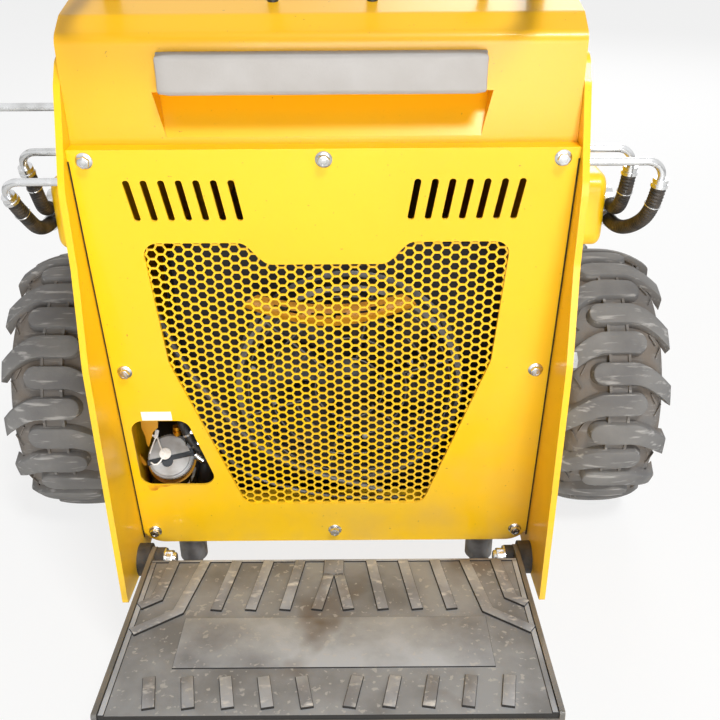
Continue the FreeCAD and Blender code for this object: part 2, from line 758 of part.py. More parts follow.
def platform():
    py = platform_pivot_y
    pz = platform_pivot_z
    half = platform_half
    rear = py - 25 - platform_length
    front = py - 25
    deck_top = pz + 13
    slope = math.tan(math.radians(platform_slope))
    deck = box(-half + flange_thickness, half - flange_thickness, rear, front, deck_top - deck_thickness, deck_top)
    pieces = [deck]
    for side in (-1, 1):
        x0 = side * half
        x1 = side * (half - flange_thickness)
        flange = side_profile([(rear, deck_top + 12), (front + 4, deck_top + 12), (py + 20, pz + 20),
                               (py + 24, pz - 22), (front, deck_top + 12 - flange_height),
                               (rear, deck_top + 12 - flange_height)],
                              min(x0, x1), max(x0, x1), [4, 0, 18, 18, 0, 4])
        flange = flange.cut(bar_x(min(x0, x1) - 1, max(x0, x1) + 1, py, pz, 10 + running_gap))
        pieces.append(flange)
        tab_x = side * buffer_x
        near = buffer_y - buffer_radius - 3
        far = buffer_y + buffer_radius + 4
        seat = pz + (buffer_bottom_z - seat_gap - pz) / math.cos(math.radians(platform_slope))
        seat_near = seat + (near - py) * slope
        seat_far = seat + (far - py) * slope
        arm = side_profile([(front - 70, deck_top - deck_thickness), (front, deck_top - deck_thickness),
                            (near, seat_near), (far, seat_far), (far, seat_far - 8), (near - 18, seat_near - 8)],
                           tab_x - buffer_tab_half, tab_x + buffer_tab_half, [0, 10, 0, 0, 0, 20])
        pieces.append(arm)
    whole = pieces[0]
    for piece in pieces[1:]:
        whole = whole.fuse(piece)
    save("platform_deck", platform_place(whole.removeSplitter()))
    mat = box(-half + flange_thickness + 1, half - flange_thickness - 1, rear + 2, front, deck_top, deck_top + mat_thickness)
    save("platform_mat", platform_place(mat))
    bolts = []
    discs = []
    for side in (-1, 1):
        bolt = bar_x(side * (half - 38), side * (chassis_width / 2 + 8), py, pz, 10)
        nut = bar_x(side * (half - 36), side * (half - 24), py, pz, 16)
        head = bar_x(side * chassis_width / 2, side * (chassis_width / 2 + 10), py, pz, 16)
        bolts.append(bolt.fuse(nut).fuse(head).removeSplitter())
        outer = bar_x(side * (half + 0.4), side * (inner_half - 0.1), py, pz, 30)
        inner = bar_x(side * (half - flange_thickness - 0.4), side * (half - 23.9), py, pz, 22)
        hole = bar_x(side * (half - 60), side * (inner_half + 5), py, pz, 10.02)
        discs.append(outer.cut(hole))
        discs.append(inner.cut(hole))
    save("platform_pivot_bolts", *bolts)
    save("pivot_discs", *discs)
    buffers = []
    for side in (-1, 1):
        foot = Vector(side * buffer_x, buffer_y, buffer_bottom_z)
        buffers.append(Part.makeCylinder(buffer_radius, beam_bottom_z - buffer_bottom_z, foot))
    save("buffers", *buffers)


# ---------------------------------------------------------------- hydraulic lines
# Each line: where its pipe leaves the side plate (y, z), how far out it reaches, where its
# leg ends in a ferrule (x, y, z), how high its hose meets the swivel over the arm's pivot,
# and the hose's corner points (x, y, z) between the two.  Each x and reach is measured from
# the outer face of the lift arm.
hose_end_y = arm_pivot_y - 28
swivel_x = 14.0
swivel_radius = 26.0
swivel_half = 8.0
stem_radius = 7.5
right_routes = [
    (-537, 960, 44, (42, -535, 934), -19, [(38, -531, 882), (28, -484, 840), (swivel_x, -432, 819)]),
    (-467, 960, 17, (16, -465, 932), 6, [(14.5, -462, 890), (swivel_x, -430, 844)]),
]
left_routes = [
    (-537, 935, 30, (24, -524, 911), -19, [(15, -504.5, 875), (swivel_x, -440, 819)]),
    (-467, 960, 17, (16, -455, 934), 6, [(swivel_x, -431, 882), (swivel_x, -410, 844)]),
]

# The spare line on the left has no hose: its pipe turns forward into a capped coupling.
spare_y = -497.0
spare_z = 1035.0
spare_reach = 95.0
spare_run = 90.0
coupling_radius = 15.0
coupling_length = 58.0


def steel_line(side, y, z, reach, foot):
    """A steel pipe that comes out of the side plate, turns down and ends in a ferrule; and where that ends."""
    start = Vector(side * (inner_half - 12), y, z)
    corner = Vector(side * (arm_outer_x + reach), y, z)
    leg = (foot - corner).normalize()
    pipe = tube([start, corner, foot], pipe_radius, pipe_bend)
    ferrule = Part.makeCylinder(ferrule_radius, ferrule_length, foot, leg)
    return pipe.fuse(ferrule), foot + leg * ferrule_length


def spare_line():
    """A steel pipe that turns forward and ends in a coupling with its dust cap on."""
    x = arm_outer_x + spare_reach
    start = Vector(-inner_half - 1, spare_y, spare_z)
    corner = Vector(-x, spare_y, spare_z)
    end = Vector(-x, spare_y + spare_run, spare_z)
    ahead = Vector(0, 1, 0)
    pipe = tube([start, corner, end], pipe_radius, pipe_bend)
    collar = Part.makeCylinder(coupling_radius - 3, coupling_length, end, ahead)
    sleeve = Part.makeCylinder(coupling_radius, coupling_length / 2, end + ahead * coupling_length / 4, ahead)
    return pipe.fuse(collar).fuse(sleeve)


def hydraulic_lines():
    for side, name, routes in ((1, "right", right_routes), (-1, "left", left_routes)):
        pipes = []
        hoses = []
        x = arm_outer_x + swivel_x
        stem = bar_x(side * (arm_outer_x + 5), side * x, arm_pivot_y, arm_pivot_z, 8)
        body = bar_x(side * (x - swivel_half), side * (x + swivel_half), arm_pivot_y, arm_pivot_z, swivel_radius)
        swivel = stem.fuse(body)
        for y, z, reach, foot, rise, corners in routes:
            middle = [Vector(side * (arm_outer_x + px), py, pz) for px, py, pz in [foot] + corners]
            pipe, mouth = steel_line(side, y, z, reach, middle[0])
            pipes.append(pipe)
            end = Vector(side * x, hose_end_y, arm_pivot_z + rise)
            hoses.append(tube([mouth] + middle[1:] + [end], hose_radius))
            nipple = Part.makeCylinder(stem_radius, arm_pivot_y - hose_end_y, end, Vector(0, 1, 0))
            swivel = swivel.fuse(nipple)
        if side < 0:
            pipes.append(spare_line())
        save("pipes_" + name, *pipes)
        save("hoses_" + name, *hoses)
        save("swivel_fittings_" + name, swivel.removeSplitter())


rear_panel()
grille_screen()
chassis()
engine()
fuel_tank()
covers()
controls(console())
wheels()
arms()
hydraulics()
carrier()
bucket()
platform()
hydraulic_lines()
print("shift", round(shift_y, 2), "length", round(machine_front_y - machine_rear_y, 1))
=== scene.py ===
import json
import math

import bmesh
import bpy
from mathutils import Matrix, Vector


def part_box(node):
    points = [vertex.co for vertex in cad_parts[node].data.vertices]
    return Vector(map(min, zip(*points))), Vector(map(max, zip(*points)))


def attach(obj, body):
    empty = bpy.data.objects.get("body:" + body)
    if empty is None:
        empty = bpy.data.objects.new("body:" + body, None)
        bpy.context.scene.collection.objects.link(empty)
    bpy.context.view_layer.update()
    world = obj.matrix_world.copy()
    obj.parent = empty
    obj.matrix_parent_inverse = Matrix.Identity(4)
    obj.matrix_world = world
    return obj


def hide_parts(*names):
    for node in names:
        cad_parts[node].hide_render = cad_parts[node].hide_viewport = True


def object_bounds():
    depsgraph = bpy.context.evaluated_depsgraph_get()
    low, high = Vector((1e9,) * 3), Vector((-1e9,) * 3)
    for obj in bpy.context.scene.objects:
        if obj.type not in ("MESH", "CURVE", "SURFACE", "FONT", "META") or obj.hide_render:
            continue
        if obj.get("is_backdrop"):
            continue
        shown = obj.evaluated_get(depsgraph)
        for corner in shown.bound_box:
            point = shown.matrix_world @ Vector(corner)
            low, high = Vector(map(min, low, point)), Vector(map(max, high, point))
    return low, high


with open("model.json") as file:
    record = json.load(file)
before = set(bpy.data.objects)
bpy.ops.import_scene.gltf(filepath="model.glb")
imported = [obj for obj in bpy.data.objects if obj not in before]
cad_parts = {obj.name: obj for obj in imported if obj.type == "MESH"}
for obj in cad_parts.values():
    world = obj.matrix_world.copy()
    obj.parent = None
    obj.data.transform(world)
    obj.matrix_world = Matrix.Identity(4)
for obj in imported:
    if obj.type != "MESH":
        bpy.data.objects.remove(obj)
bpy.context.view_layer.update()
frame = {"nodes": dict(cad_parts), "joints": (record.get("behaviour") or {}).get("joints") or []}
nodes = frame["nodes"]

# ---------------------------------------------------------------- camera
# A viewer stands behind the platform and looks down on the rear of the loader.
# Distances are measured from the rear axle, which the rear tyre gives.
rear_low, rear_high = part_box("tyre_rear_right")
rear_axle = (rear_low + rear_high) / 2


def added(name, data):
    """A new object in the scene, made of the given data."""
    item = bpy.data.objects.new(name, data)
    bpy.context.scene.collection.objects.link(item)
    return item


camera_tilt = math.radians(61.0)
camera_turn = math.radians(-0.4)
camera_data = bpy.data.cameras.new("camera")
camera_data.sensor_width = 36.0
camera_data.lens = 44.725
camera = added("camera", camera_data)
camera.location = (0.049, rear_axle.y - 1.817, 1.3415)
camera.rotation_mode = "ZXY"
camera.rotation_euler = (camera_tilt, 0.0, camera_turn)
bpy.context.scene.camera = camera

# ---------------------------------------------------------------- floor and light
# A plain pale studio floor under soft lamps.  The floor keeps the machine's shadow,
# and what the camera sees of the backdrop is white.
floor_half = 40.0
floor_tone = (0.86, 0.86, 0.85, 1.0)
white = (1.0, 1.0, 1.0, 1.0)
glow_share = 0.8
world_light = 0.28


def combine(one, other, operation="MULTIPLY"):
    """Multiplies a value by a number or another value, or joins them in another way."""
    tree = one.id_data
    node = tree.nodes.new("ShaderNodeMath")
    node.operation = operation
    tree.links.new(one, node.inputs[0])
    if isinstance(other, float):
        node.inputs[1].default_value = other
    else:
        tree.links.new(other, node.inputs[1])
    return node.outputs["Value"]


def whiten(tree, lit, glow, share, output):
    """Mixes a white glow into what is lit, by a share of the rays."""
    glow.inputs["Color"].default_value = white
    mixed = tree.nodes.new("ShaderNodeMixShader")
    tree.links.new(share, mixed.inputs["Fac"])
    tree.links.new(lit.outputs[0], mixed.inputs[1])
    tree.links.new(glow.outputs[0], mixed.inputs[2])
    tree.links.new(mixed.outputs["Shader"], tree.nodes[output].inputs["Surface"])


def lamp(name, place, target, size, power):
    """A soft square lamp that hangs at a place and faces a target."""
    light = bpy.data.lights.new(name, "AREA")
    light.size = size
    light.energy = power
    holder = added(name, light)
    holder.location = place
    holder.rotation_euler = (Vector(target) - Vector(place)).to_track_quat("-Z", "Y").to_euler()


floor_shape = bmesh.new()
bmesh.ops.create_grid(floor_shape, x_segments=1, y_segments=1, size=floor_half)
floor_mesh = bpy.data.meshes.new("floor")
floor_shape.to_mesh(floor_mesh)
floor_shape.free()
floor_finish = bpy.data.materials.new("floor")
floor_finish.use_nodes = True
tree = floor_finish.node_tree
shader = tree.nodes["Principled BSDF"]
shader.inputs["Base Color"].default_value = floor_tone
shader.inputs["Roughness"].default_value = 0.9
rays = tree.nodes.new("ShaderNodeLightPath").outputs
whiten(tree, shader, tree.nodes.new("ShaderNodeEmission"),
       combine(rays["Is Camera Ray"], glow_share), "Material Output")
floor_mesh.materials.append(floor_finish)
added("floor", floor_mesh)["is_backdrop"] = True

world = bpy.data.worlds.new("studio")
bpy.context.scene.world = world
world.use_nodes = True
tree = world.node_tree
lit = tree.nodes["Background"]
lit.inputs["Color"].default_value = white
lit.inputs["Strength"].default_value = world_light
rays = tree.nodes.new("ShaderNodeLightPath").outputs
whiten(tree, lit, tree.nodes.new("ShaderNodeBackground"),
       combine(rays["Is Camera Ray"], rays["Is Glossy Ray"], "MAXIMUM"), "World Output")

lamp("key_lamp", (2.1, -4.9, 7.6), (0.0, -0.6, 0.5), 1.5, 445.0)
lamp("fill_lamp", (0.4, -5.2, 1.0), (0.0, -0.6, 0.4), 2.2, 115.0)
lamp("front_lamp", (1.6, 4.6, 3.2), (0.0, 0.6, 0.4), 2.6, 110.0)
bpy.context.scene.view_settings.view_transform = "Standard"

# ---------------------------------------------------------------- side plates and chassis sheets
# Plasma-cut steel plates, welded into a box and sprayed with one coat of yellow
# enamel.  It has a fine orange peel, dust towards the ground and thin, dull edges.


def colour(red, green, blue):
    """A colour written from 0 to 255, as the linear values that a shader takes."""
    linear = []
    for value in (red / 255, green / 255, blue / 255):
        linear.append(value / 12.92 if value <= 0.04045 else ((value + 0.055) / 1.055) ** 2.4)
    return (*linear, 1.0)


def new_finish(name, shade, roughness, metallic=0.0):
    """A finish with its plain colour, roughness and metal share."""
    finish = bpy.data.materials.new(name)
    finish.use_nodes = True
    shader = finish.node_tree.nodes["Principled BSDF"]
    shader.inputs["Base Color"].default_value = colour(*shade)
    shader.inputs["Roughness"].default_value = roughness
    shader.inputs["Metallic"].default_value = metallic
    return finish


def drive(finish, socket, value):
    """Lets a node's value set one socket of the finish."""
    tree = finish.node_tree
    tree.links.new(value, tree.nodes["Principled BSDF"].inputs[socket])


def cloud(finish, scale, detail=3.0, stretch=(1.0, 1.0, 1.0), turn=(0.0, 0.0, 0.0)):
    """Soft noise in the machine's own coordinates, finer with a larger scale."""
    tree = finish.node_tree
    where = tree.nodes.new("ShaderNodeTexCoord")
    place = tree.nodes.new("ShaderNodeMapping")
    place.inputs["Scale"].default_value = stretch
    place.inputs["Rotation"].default_value = turn
    noise = tree.nodes.new("ShaderNodeTexNoise")
    noise.inputs["Scale"].default_value = scale
    noise.inputs["Detail"].default_value = detail
    tree.links.new(where.outputs["Object"], place.inputs["Vector"])
    tree.links.new(place.outputs["Vector"], noise.inputs["Vector"])
    return noise.outputs["Fac"]


def along_axis(finish, kind, vector, axis):
    """One coordinate of a vector that a node of a kind gives, such as a point's height."""
    tree = finish.node_tree
    split = tree.nodes.new("ShaderNodeSeparateXYZ")
    tree.links.new(tree.nodes.new(kind).outputs[vector], split.inputs["Vector"])
    return split.outputs[axis]


def ramp(value, low, high, start=0.0, end=1.0):
    """Carries a value from low..high to start..end and holds it outside."""
    tree = value.id_data
    node = tree.nodes.new("ShaderNodeMapRange")
    for socket, limit in zip(("From Min", "From Max", "To Min", "To Max"), (low, high, start, end)):
        node.inputs[socket].default_value = limit
    tree.links.new(value, node.inputs["Value"])
    return node.outputs["Result"]


def lay(amount, under, over):
    """Lays one colour over another where amount is high."""
    tree = amount.id_data
    node = tree.nodes.new("ShaderNodeMix")
    node.data_type = "RGBA"
    tree.links.new(amount, node.inputs["Factor"])
    for socket, shade in ((node.inputs[6], under), (node.inputs[7], over)):
        if isinstance(shade, tuple):
            socket.default_value = colour(*shade)
        else:
            tree.links.new(shade, socket)
    return node.outputs[2]


def grain(finish, scale, detail, depth):
    """Raises a fine noise in the surface by a depth in metres."""
    tree = finish.node_tree
    bump = tree.nodes.new("ShaderNodeBump")
    bump.inputs["Strength"].default_value = 1.0
    bump.inputs["Distance"].default_value = depth
    tree.links.new(cloud(finish, scale, detail), bump.inputs["Height"])
    drive(finish, "Normal", bump.outputs["Normal"])


def edge_mask(finish, reach):
    """1 along sharp edges and 0 on flat sheet, from a bevelled normal against the true one."""
    tree = finish.node_tree
    bevel = tree.nodes.new("ShaderNodeBevel")
    bevel.samples = 4
    bevel.inputs["Radius"].default_value = reach
    true = tree.nodes.new("ShaderNodeNewGeometry")
    dot = tree.nodes.new("ShaderNodeVectorMath")
    dot.operation = "DOT_PRODUCT"
    tree.links.new(bevel.outputs["Normal"], dot.inputs[0])
    tree.links.new(true.outputs["Normal"], dot.inputs[1])
    return ramp(dot.outputs["Value"], 0.99, 0.8)


worn_tone = (150, 118, 70)
speck_tone = (120, 84, 40)
dust_tone = (178, 156, 122)
dust_top, dust_foot = 0.75, 0.05


def painted(name, shade, deep_shade, roughness, dust_share):
    """Sprayed enamel over steel, with dust low down and bare specks."""
    finish = new_finish(name, shade, roughness)
    body = lay(ramp(cloud(finish, 2.3, 5.0), 0.42, 0.72), shade, deep_shade)
    edge = combine(edge_mask(finish, 0.0015), ramp(cloud(finish, 38.0), 0.5, 0.62))
    body = lay(combine(edge, 0.55), body, worn_tone)
    speck = ramp(cloud(finish, 170.0, 2.0), 0.735, 0.76)
    body = lay(combine(speck, 0.6), body, speck_tone)
    up = along_axis(finish, "ShaderNodeTexCoord", "Object", "Z")
    patchy = ramp(cloud(finish, 11.0, 6.0), 0.36, 0.74)
    dust = combine(combine(ramp(up, dust_top, dust_foot), patchy), dust_share)
    drive(finish, "Base Color", lay(dust, body, dust_tone))
    drive(finish, "Roughness", ramp(dust, 0.0, 1.0, roughness, 0.9))
    grain(finish, 520.0, 1.0, 0.00012)
    shader = finish.node_tree.nodes["Principled BSDF"]
    shader.inputs["Coat Weight"].default_value = 0.2
    shader.inputs["Coat Roughness"].default_value = 0.12
    return finish


def dress(finish, slot, *names):
    """Gives carried-over CAD nodes their finish."""
    for name in names:
        nodes[name].material_slots[0].material = finish


yellow = painted("yellow_enamel", (253, 203, 8), (248, 193, 7), 0.38, 0.35)
dress(yellow, "yellow_paint", "side_plate_left", "side_plate_right", "belly_plate",
      "front_plate", "rear_beam", "nose_cover", "engine_cover")

# ---------------------------------------------------------------- rear panel
# One laser-cut sheet that leans rearwards, held by eight zinc flange bolts.  Its
# slots, window and grille opening are cut clean through and painted with it.
dress(yellow, "yellow_paint", "rear_panel")
screen_low, screen_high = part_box("grille_screen")
screen_sheet = 0.002
panel_sheet = 0.004
screen_foot = 0.078
panel_lean = math.atan2(screen_high.y - screen_low.y - screen_sheet, screen_high.z - screen_low.z)
lean_sine, lean_cosine = math.sin(panel_lean), math.cos(panel_lean)
panel_foot = Vector((0.0, screen_high.y, screen_low.z))
panel_foot -= Vector((0.0, -lean_sine, lean_cosine)) * screen_foot
panel_foot -= Vector((0.0, (panel_sheet + screen_sheet) * lean_cosine, panel_sheet * lean_sine))
panel_place = Matrix.Translation(panel_foot) @ Matrix.Rotation(math.pi / 2 + panel_lean, 4, "X")


def mottled(name, light, dark, roughness, patches, metallic=0.0):
    """A finish that goes from a light to a dark shade in soft patches.

    The patches are given by the noise's scale and detail and by where they begin and end.
    """
    scale, detail, low, high = patches
    finish = new_finish(name, light, roughness, metallic)
    drive(finish, "Base Color", lay(ramp(cloud(finish, scale, detail), low, high), light, dark))
    return finish


def uneven(finish, scale, least, most, low=0.3, detail=3.0):
    """Lets the roughness wander from least to most."""
    drive(finish, "Roughness", ramp(cloud(finish, scale, detail), low, 0.7, least, most))


def finished(shape, name, finish, place=Matrix(), body="chassis", smooth_angle=35.0):
    """Turns a bmesh into a piece of the machine that rides on a CAD body."""
    bmesh.ops.transform(shape, matrix=place, verts=shape.verts)
    bmesh.ops.recalc_face_normals(shape, faces=shape.faces)
    mesh = bpy.data.meshes.new(name)
    shape.to_mesh(mesh)
    shape.free()
    mesh.shade_smooth()
    mesh.set_sharp_from_angle(angle=math.radians(smooth_angle))
    mesh.materials.append(finish)
    piece = added(name, mesh)
    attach(piece, body)
    return piece


def join(shape, other, place=Matrix()):
    """Adds another bmesh to a shape, at a place, and frees it."""
    bmesh.ops.transform(other, matrix=place, verts=other.verts)
    carrier = bpy.data.meshes.new("carrier")
    other.to_mesh(carrier)
    other.free()
    shape.from_mesh(carrier)
    bpy.data.meshes.remove(carrier)


def lathe(shape, profile, place, steps=32):
    """A turned solid: profile is (distance along, radius) from end to end on its Z axis."""
    turned = bmesh.new()
    ring = [turned.verts.new((radius, 0.0, along)) for along, radius in profile]
    edges = [turned.edges.new(pair) for pair in zip(ring, ring[1:])]
    bmesh.ops.spin(turned, geom=ring + edges, cent=(0, 0, 0), axis=(0, 0, 1), dvec=(0, 0, 0),
                   angle=math.tau, steps=steps, use_merge=True)
    bmesh.ops.remove_doubles(turned, verts=turned.verts, dist=1e-6)
    join(shape, turned, place)


def aimed(start, axis):
    """A place whose Z axis points along axis."""
    turn = Vector(axis).to_track_quat("Z", "Y").to_matrix().to_4x4()
    return Matrix.Translation(start) @ turn


def moved(x=0.0, y=0.0, z=0.0):
    """A place that is only shifted."""
    return Matrix.Translation((x, y, z))


def edges_above(shape, level):
    """The edges that lie higher than a level."""
    return [e for e in shape.edges if all(v.co.z > level for v in e.verts)]


def eased(shape, edges, radius, segments=2):
    """Rounds edges by a radius."""
    bmesh.ops.bevel(shape, geom=edges, offset=radius, segments=segments, profile=0.5,
                    affect="EDGES", material=-1)


def hexagon(shape, place, reach, rise):
    """A hexagonal head or nut with a chamfered top, standing on its place."""
    head = bmesh.new()
    bmesh.ops.create_cone(head, cap_ends=True, segments=6, radius1=reach, radius2=reach, depth=rise)
    eased(head, edges_above(head, 0.0), reach * 0.12)
    join(shape, head, place @ moved(z=rise / 2))


zinc = mottled("bright_zinc", (222, 223, 224), (186, 186, 184), 0.3, (24.0, 3.0, 0.42, 0.75), 1.0)
uneven(zinc, 90.0, 0.2, 0.3)
panel_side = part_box("rear_panel")[1].x
panel_high = (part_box("rear_panel")[1].z - panel_foot.z) / lean_cosine
column = panel_side - 0.0237
low_row, middle_row, high_row = 0.029, panel_high / 2 + 0.007, panel_high - 0.016
flange, head_reach, head_rise = 0.0122, 0.0092, 0.0075
dish = ((0.002, 0.62), (0.0026, 0.6), (0.0026, 0.5), (0.0019, 0.46), (0.0019, 0.0))
bolts = bmesh.new()
for row, columns in ((high_row, (-column, 0.0, column)), (middle_row, (-column, column)),
                     (low_row, (-column, 0.0, column))):
    for x in columns:
        spot = panel_place @ moved(x, row, 0.0001) @ Matrix.Rotation(x * 9 + row, 4, "Z")
        lathe(bolts, [(0.0, 0.0), (0.0, flange), (0.0012, flange), (0.003, head_reach * 1.02),
                      (0.003, 0.0)], spot, 28)
        hexagon(bolts, spot @ moved(z=0.002), head_reach, head_rise)
        lathe(bolts, [(head_rise + along, head_reach * out) for along, out in dish], spot, 24)
finished(bolts, "panel_bolts", zinc)

# ---------------------------------------------------------------- joints beside the panel
# The thin gap between the panel's sides and the side plates, drawn as a dark line:
# painted shade that stands for the shadow in the gap.
joint_wide, joint_proud = 0.0022, 0.0008
# The bead's near-black brown is painted shade for the shadow in the gap.
gap_shade = mottled("painted_shade_joint", (26, 18, 8), (72, 48, 12), 0.8, (60.0, 4.0, 0.4, 0.7))
gaps = bmesh.new()
for side in (-1.0, 1.0):
    bead = bmesh.new()
    bmesh.ops.create_cube(bead, size=1.0)
    bmesh.ops.scale(bead, verts=bead.verts, vec=(joint_wide, panel_high - 0.03, joint_proud))
    eased(bead, edges_above(bead, 0.0), 0.0003, 1)
    join(gaps, bead, moved(side * (panel_side - joint_wide / 2), panel_high / 2 - 0.002, 0.0005))
finished(gaps, "panel_joints", gap_shade, panel_place)

# ---------------------------------------------------------------- grille screen
# A laser-cut honeycomb screen that is clamped behind the opening and sprayed with the
# panel.  Its cells run up to every edge, and a plain margin is held behind the panel.
cell_pitch = 0.016
cell_web = 0.0032
cell_step = cell_pitch * math.sqrt(3.0) / 2
first_row = 0.0892
opening_half = [(0.091, 0.593), (0.124, 0.630), (0.275, 0.630), (0.262, 0.412), (0.161, 0.096)]
margin_half = [(0.091, 0.611), (0.106, 0.648), (0.293, 0.648), (0.280, 0.412), (0.179, 0.078)]


def mirrored(half):
    """A closed outline from its right half, which runs from the top middle to the foot."""
    return half + [(-x, up) for x, up in reversed(half)]


def within(outline, x, up):
    """Whether a point lies inside a closed outline."""
    crossed = False
    for (x1, up1), (x2, up2) in zip(outline, outline[1:] + outline[:1]):
        if (up1 > up) != (up2 > up) and x < x1 + (up - up1) * (x2 - x1) / (up2 - up1):
            crossed = not crossed
    return crossed


def verts_of(made):
    """The vertices in what an operator made."""
    return [v for v in made["geom"] if isinstance(v, bmesh.types.BMVert)]


def thickened(shape, faces, offset):
    """Extrudes faces by an offset."""
    made = bmesh.ops.extrude_face_region(shape, geom=faces)
    bmesh.ops.translate(shape, verts=verts_of(made), vec=offset)


opening_edge = mirrored(opening_half)
margin_edge = mirrored(margin_half)
cell_limit = [((x + wide_x) / 2, (up + wide_up) / 2)
              for (x, up), (wide_x, wide_up) in zip(opening_edge, margin_edge)]
screen = bmesh.new()
for number in range(-21, 22):
    for row in range(36):
        x = number * cell_step
        up = first_row + (row + number % 2 / 2) * cell_pitch
        if within(cell_limit, x, up):
            spot = moved(x, up) @ Matrix.Rotation(math.pi / 2, 4, "Z")
            bmesh.ops.create_circle(screen, cap_ends=True, segments=6,
                                    radius=cell_pitch / math.sqrt(3.0), matrix=spot)
cells = screen.faces[:]
bmesh.ops.inset_individual(screen, faces=cells, thickness=cell_web / 2, use_even_offset=True)
bmesh.ops.delete(screen, geom=cells, context="FACES")
bmesh.ops.remove_doubles(screen, verts=screen.verts, dist=1e-5)
thickened(screen, screen.faces[:], (0.0, 0.0, -screen_sheet))
margin = bmesh.new()
outer, inner = [[margin.verts.new((x, up, 0.0002)) for x, up in edge]
                for edge in (margin_edge, opening_edge)]
for number, corner in enumerate(outer):
    after = (number + 1) % len(outer)
    margin.faces.new((corner, outer[after], inner[after], inner[number]))
thickened(margin, margin.faces[:], (0.0, 0.0, -screen_sheet - 0.0004))
join(screen, margin)
screen_piece = finished(screen, "honeycomb_screen", yellow,
                        panel_place @ moved(z=-panel_sheet - 0.0003))
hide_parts("grille_screen")

# ---------------------------------------------------------------- blank label and fuel stain
# A small white paper label, left blank, stuck above the fuel window, and a brown
# stain where spilt fuel has run over the window's lower edge.
label_edge = [(-0.322, 0.2935), (-0.271, 0.2935), (-0.2715, 0.312), (-0.3225, 0.312)]
stain_edge = [(-0.334, 0.1435), (-0.293, 0.1435), (-0.299, 0.1405), (-0.309, 0.139),
              (-0.316, 0.136), (-0.318, 0.1325), (-0.3235, 0.1305), (-0.329, 0.131),
              (-0.3335, 0.1345), (-0.3325, 0.139)]
paper = mottled("white_paper", (253, 253, 252), (236, 233, 226), 0.6, (120.0, 4.0, 0.5, 0.8))
fuel_mark = mottled("fuel_stain", (240, 184, 28), (206, 136, 26), 0.4, (70.0, 5.0, 0.4, 0.65))


def plate(shape, points, offset):
    """A flat plate: a face through points in order, thickened by an offset."""
    face = shape.faces.new([shape.verts.new(point) for point in points])
    thickened(shape, [face], offset)


for name, edge, thick, finish in (("blank_label", label_edge, 0.00025, paper),
                                  ("fuel_stain", stain_edge, 0.00012, fuel_mark)):
    layer = bmesh.new()
    plate(layer, [(x, up, 0.0001) for x, up in edge], (0.0, 0.0, thick))
    finished(layer, name, finish, panel_place)

# ---------------------------------------------------------------- engine and cooling fan
# A small water-cooled engine, dark cast iron under oil and dust.  At its rear stands the
# radiator's fan in a round sheet shroud, behind a guard of welded wire.
cast = new_finish("dark_casting", (48, 47, 46), 0.62, 0.1)
grime = ramp(cloud(cast, 22.0, 6.0), 0.4, 0.7)
drive(cast, "Base Color", lay(grime, (38, 37, 36), (88, 78, 66)))
drive(cast, "Roughness", ramp(grime, 0.0, 1.0, 0.5, 0.85))
grain(cast, 260.0, 4.0, 0.0004)
dress(cast, "cast_iron", "engine_block")
dull_metal = new_finish("dull_sheet_metal", (120, 119, 116), 0.5, 0.7)
uneven(dull_metal, 50.0, 0.35, 0.7)
fan_plastic = new_finish("fan_plastic", (34, 34, 35), 0.45)
uneven(fan_plastic, 40.0, 0.38, 0.6)

fan_centre = Vector((0.03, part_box("engine_block")[0].y - 0.008, 0.535))
fan_place = aimed(fan_centre, (0.0, -1.0, 0.0))
shroud_radius = 0.19
shroud = bmesh.new()
lathe(shroud, [(along, shroud_radius + out) for along, out in (
    (0.0, -0.006), (0.0, 0.012), (0.004, 0.012), (0.006, 0.002), (0.05, 0.002), (0.054, 0.009),
    (0.057, 0.009), (0.057, -0.001), (0.003, -0.006), (0.0, -0.006))], fan_place, 64)
finished(shroud, "fan_shroud", dull_metal)

fan = bmesh.new()
lathe(fan, [(0.012, 0.0), (0.012, 0.045), (0.03, 0.048), (0.036, 0.04), (0.04, 0.014),
            (0.048, 0.012), (0.048, 0.0)], fan_place)
blade_count = 7
blade_root = 0.04
blade_tip = shroud_radius - 0.012
blade_thick = 0.0022
for number in range(blade_count):
    verts = bmesh.ops.create_grid(fan, x_segments=8, y_segments=3, size=0.5)["verts"]
    for v in verts:
        reach = v.co.x + 0.5
        across = v.co.y * (0.052 + 0.03 * reach)
        pitch = math.radians(42.0 - 18.0 * reach)
        curve = 0.006 * (1 - (2 * v.co.y) ** 2)
        radius = blade_root + reach * (blade_tip - blade_root)
        turn = math.atan2(across * math.cos(pitch), radius) + 0.35 * reach * reach
        v.co = (radius * math.cos(turn), radius * math.sin(turn),
                0.026 + across * math.sin(pitch) + curve)
    blade = list({f for v in verts for f in v.link_faces})
    thick = verts_of(bmesh.ops.solidify(fan, geom=blade, thickness=blade_thick))
    turned = fan_place @ Matrix.Rotation(math.tau * number / blade_count, 4, "Z")
    bmesh.ops.transform(fan, matrix=turned, verts=list(set(verts + thick)))
finished(fan, "cooling_fan", fan_plastic)

wire = 0.0016
guard_level = 0.0565
spoke_count = 6
guard = bmesh.new()
for ring_radius in (0.06, 0.1, 0.14, 0.178):
    profile = [(guard_level + wire * math.sin(a), ring_radius + wire * math.cos(a))
               for a in [math.tau * n / 8 for n in range(9)]]
    lathe(guard, profile, fan_place, 56)
for number in range(spoke_count):
    spoke = bmesh.ops.create_cone(guard, cap_ends=True, segments=8, radius1=0.002, radius2=0.002,
                                  depth=0.142)["verts"]
    turned = fan_place @ Matrix.Rotation(math.tau * number / spoke_count + 0.3, 4, "Z")
    place = turned @ moved(0.125, z=guard_level - 0.003) @ Matrix.Rotation(math.pi / 2, 4, "Y")
    bmesh.ops.transform(guard, matrix=place, verts=spoke)
finished(guard, "fan_guard", dull_metal)
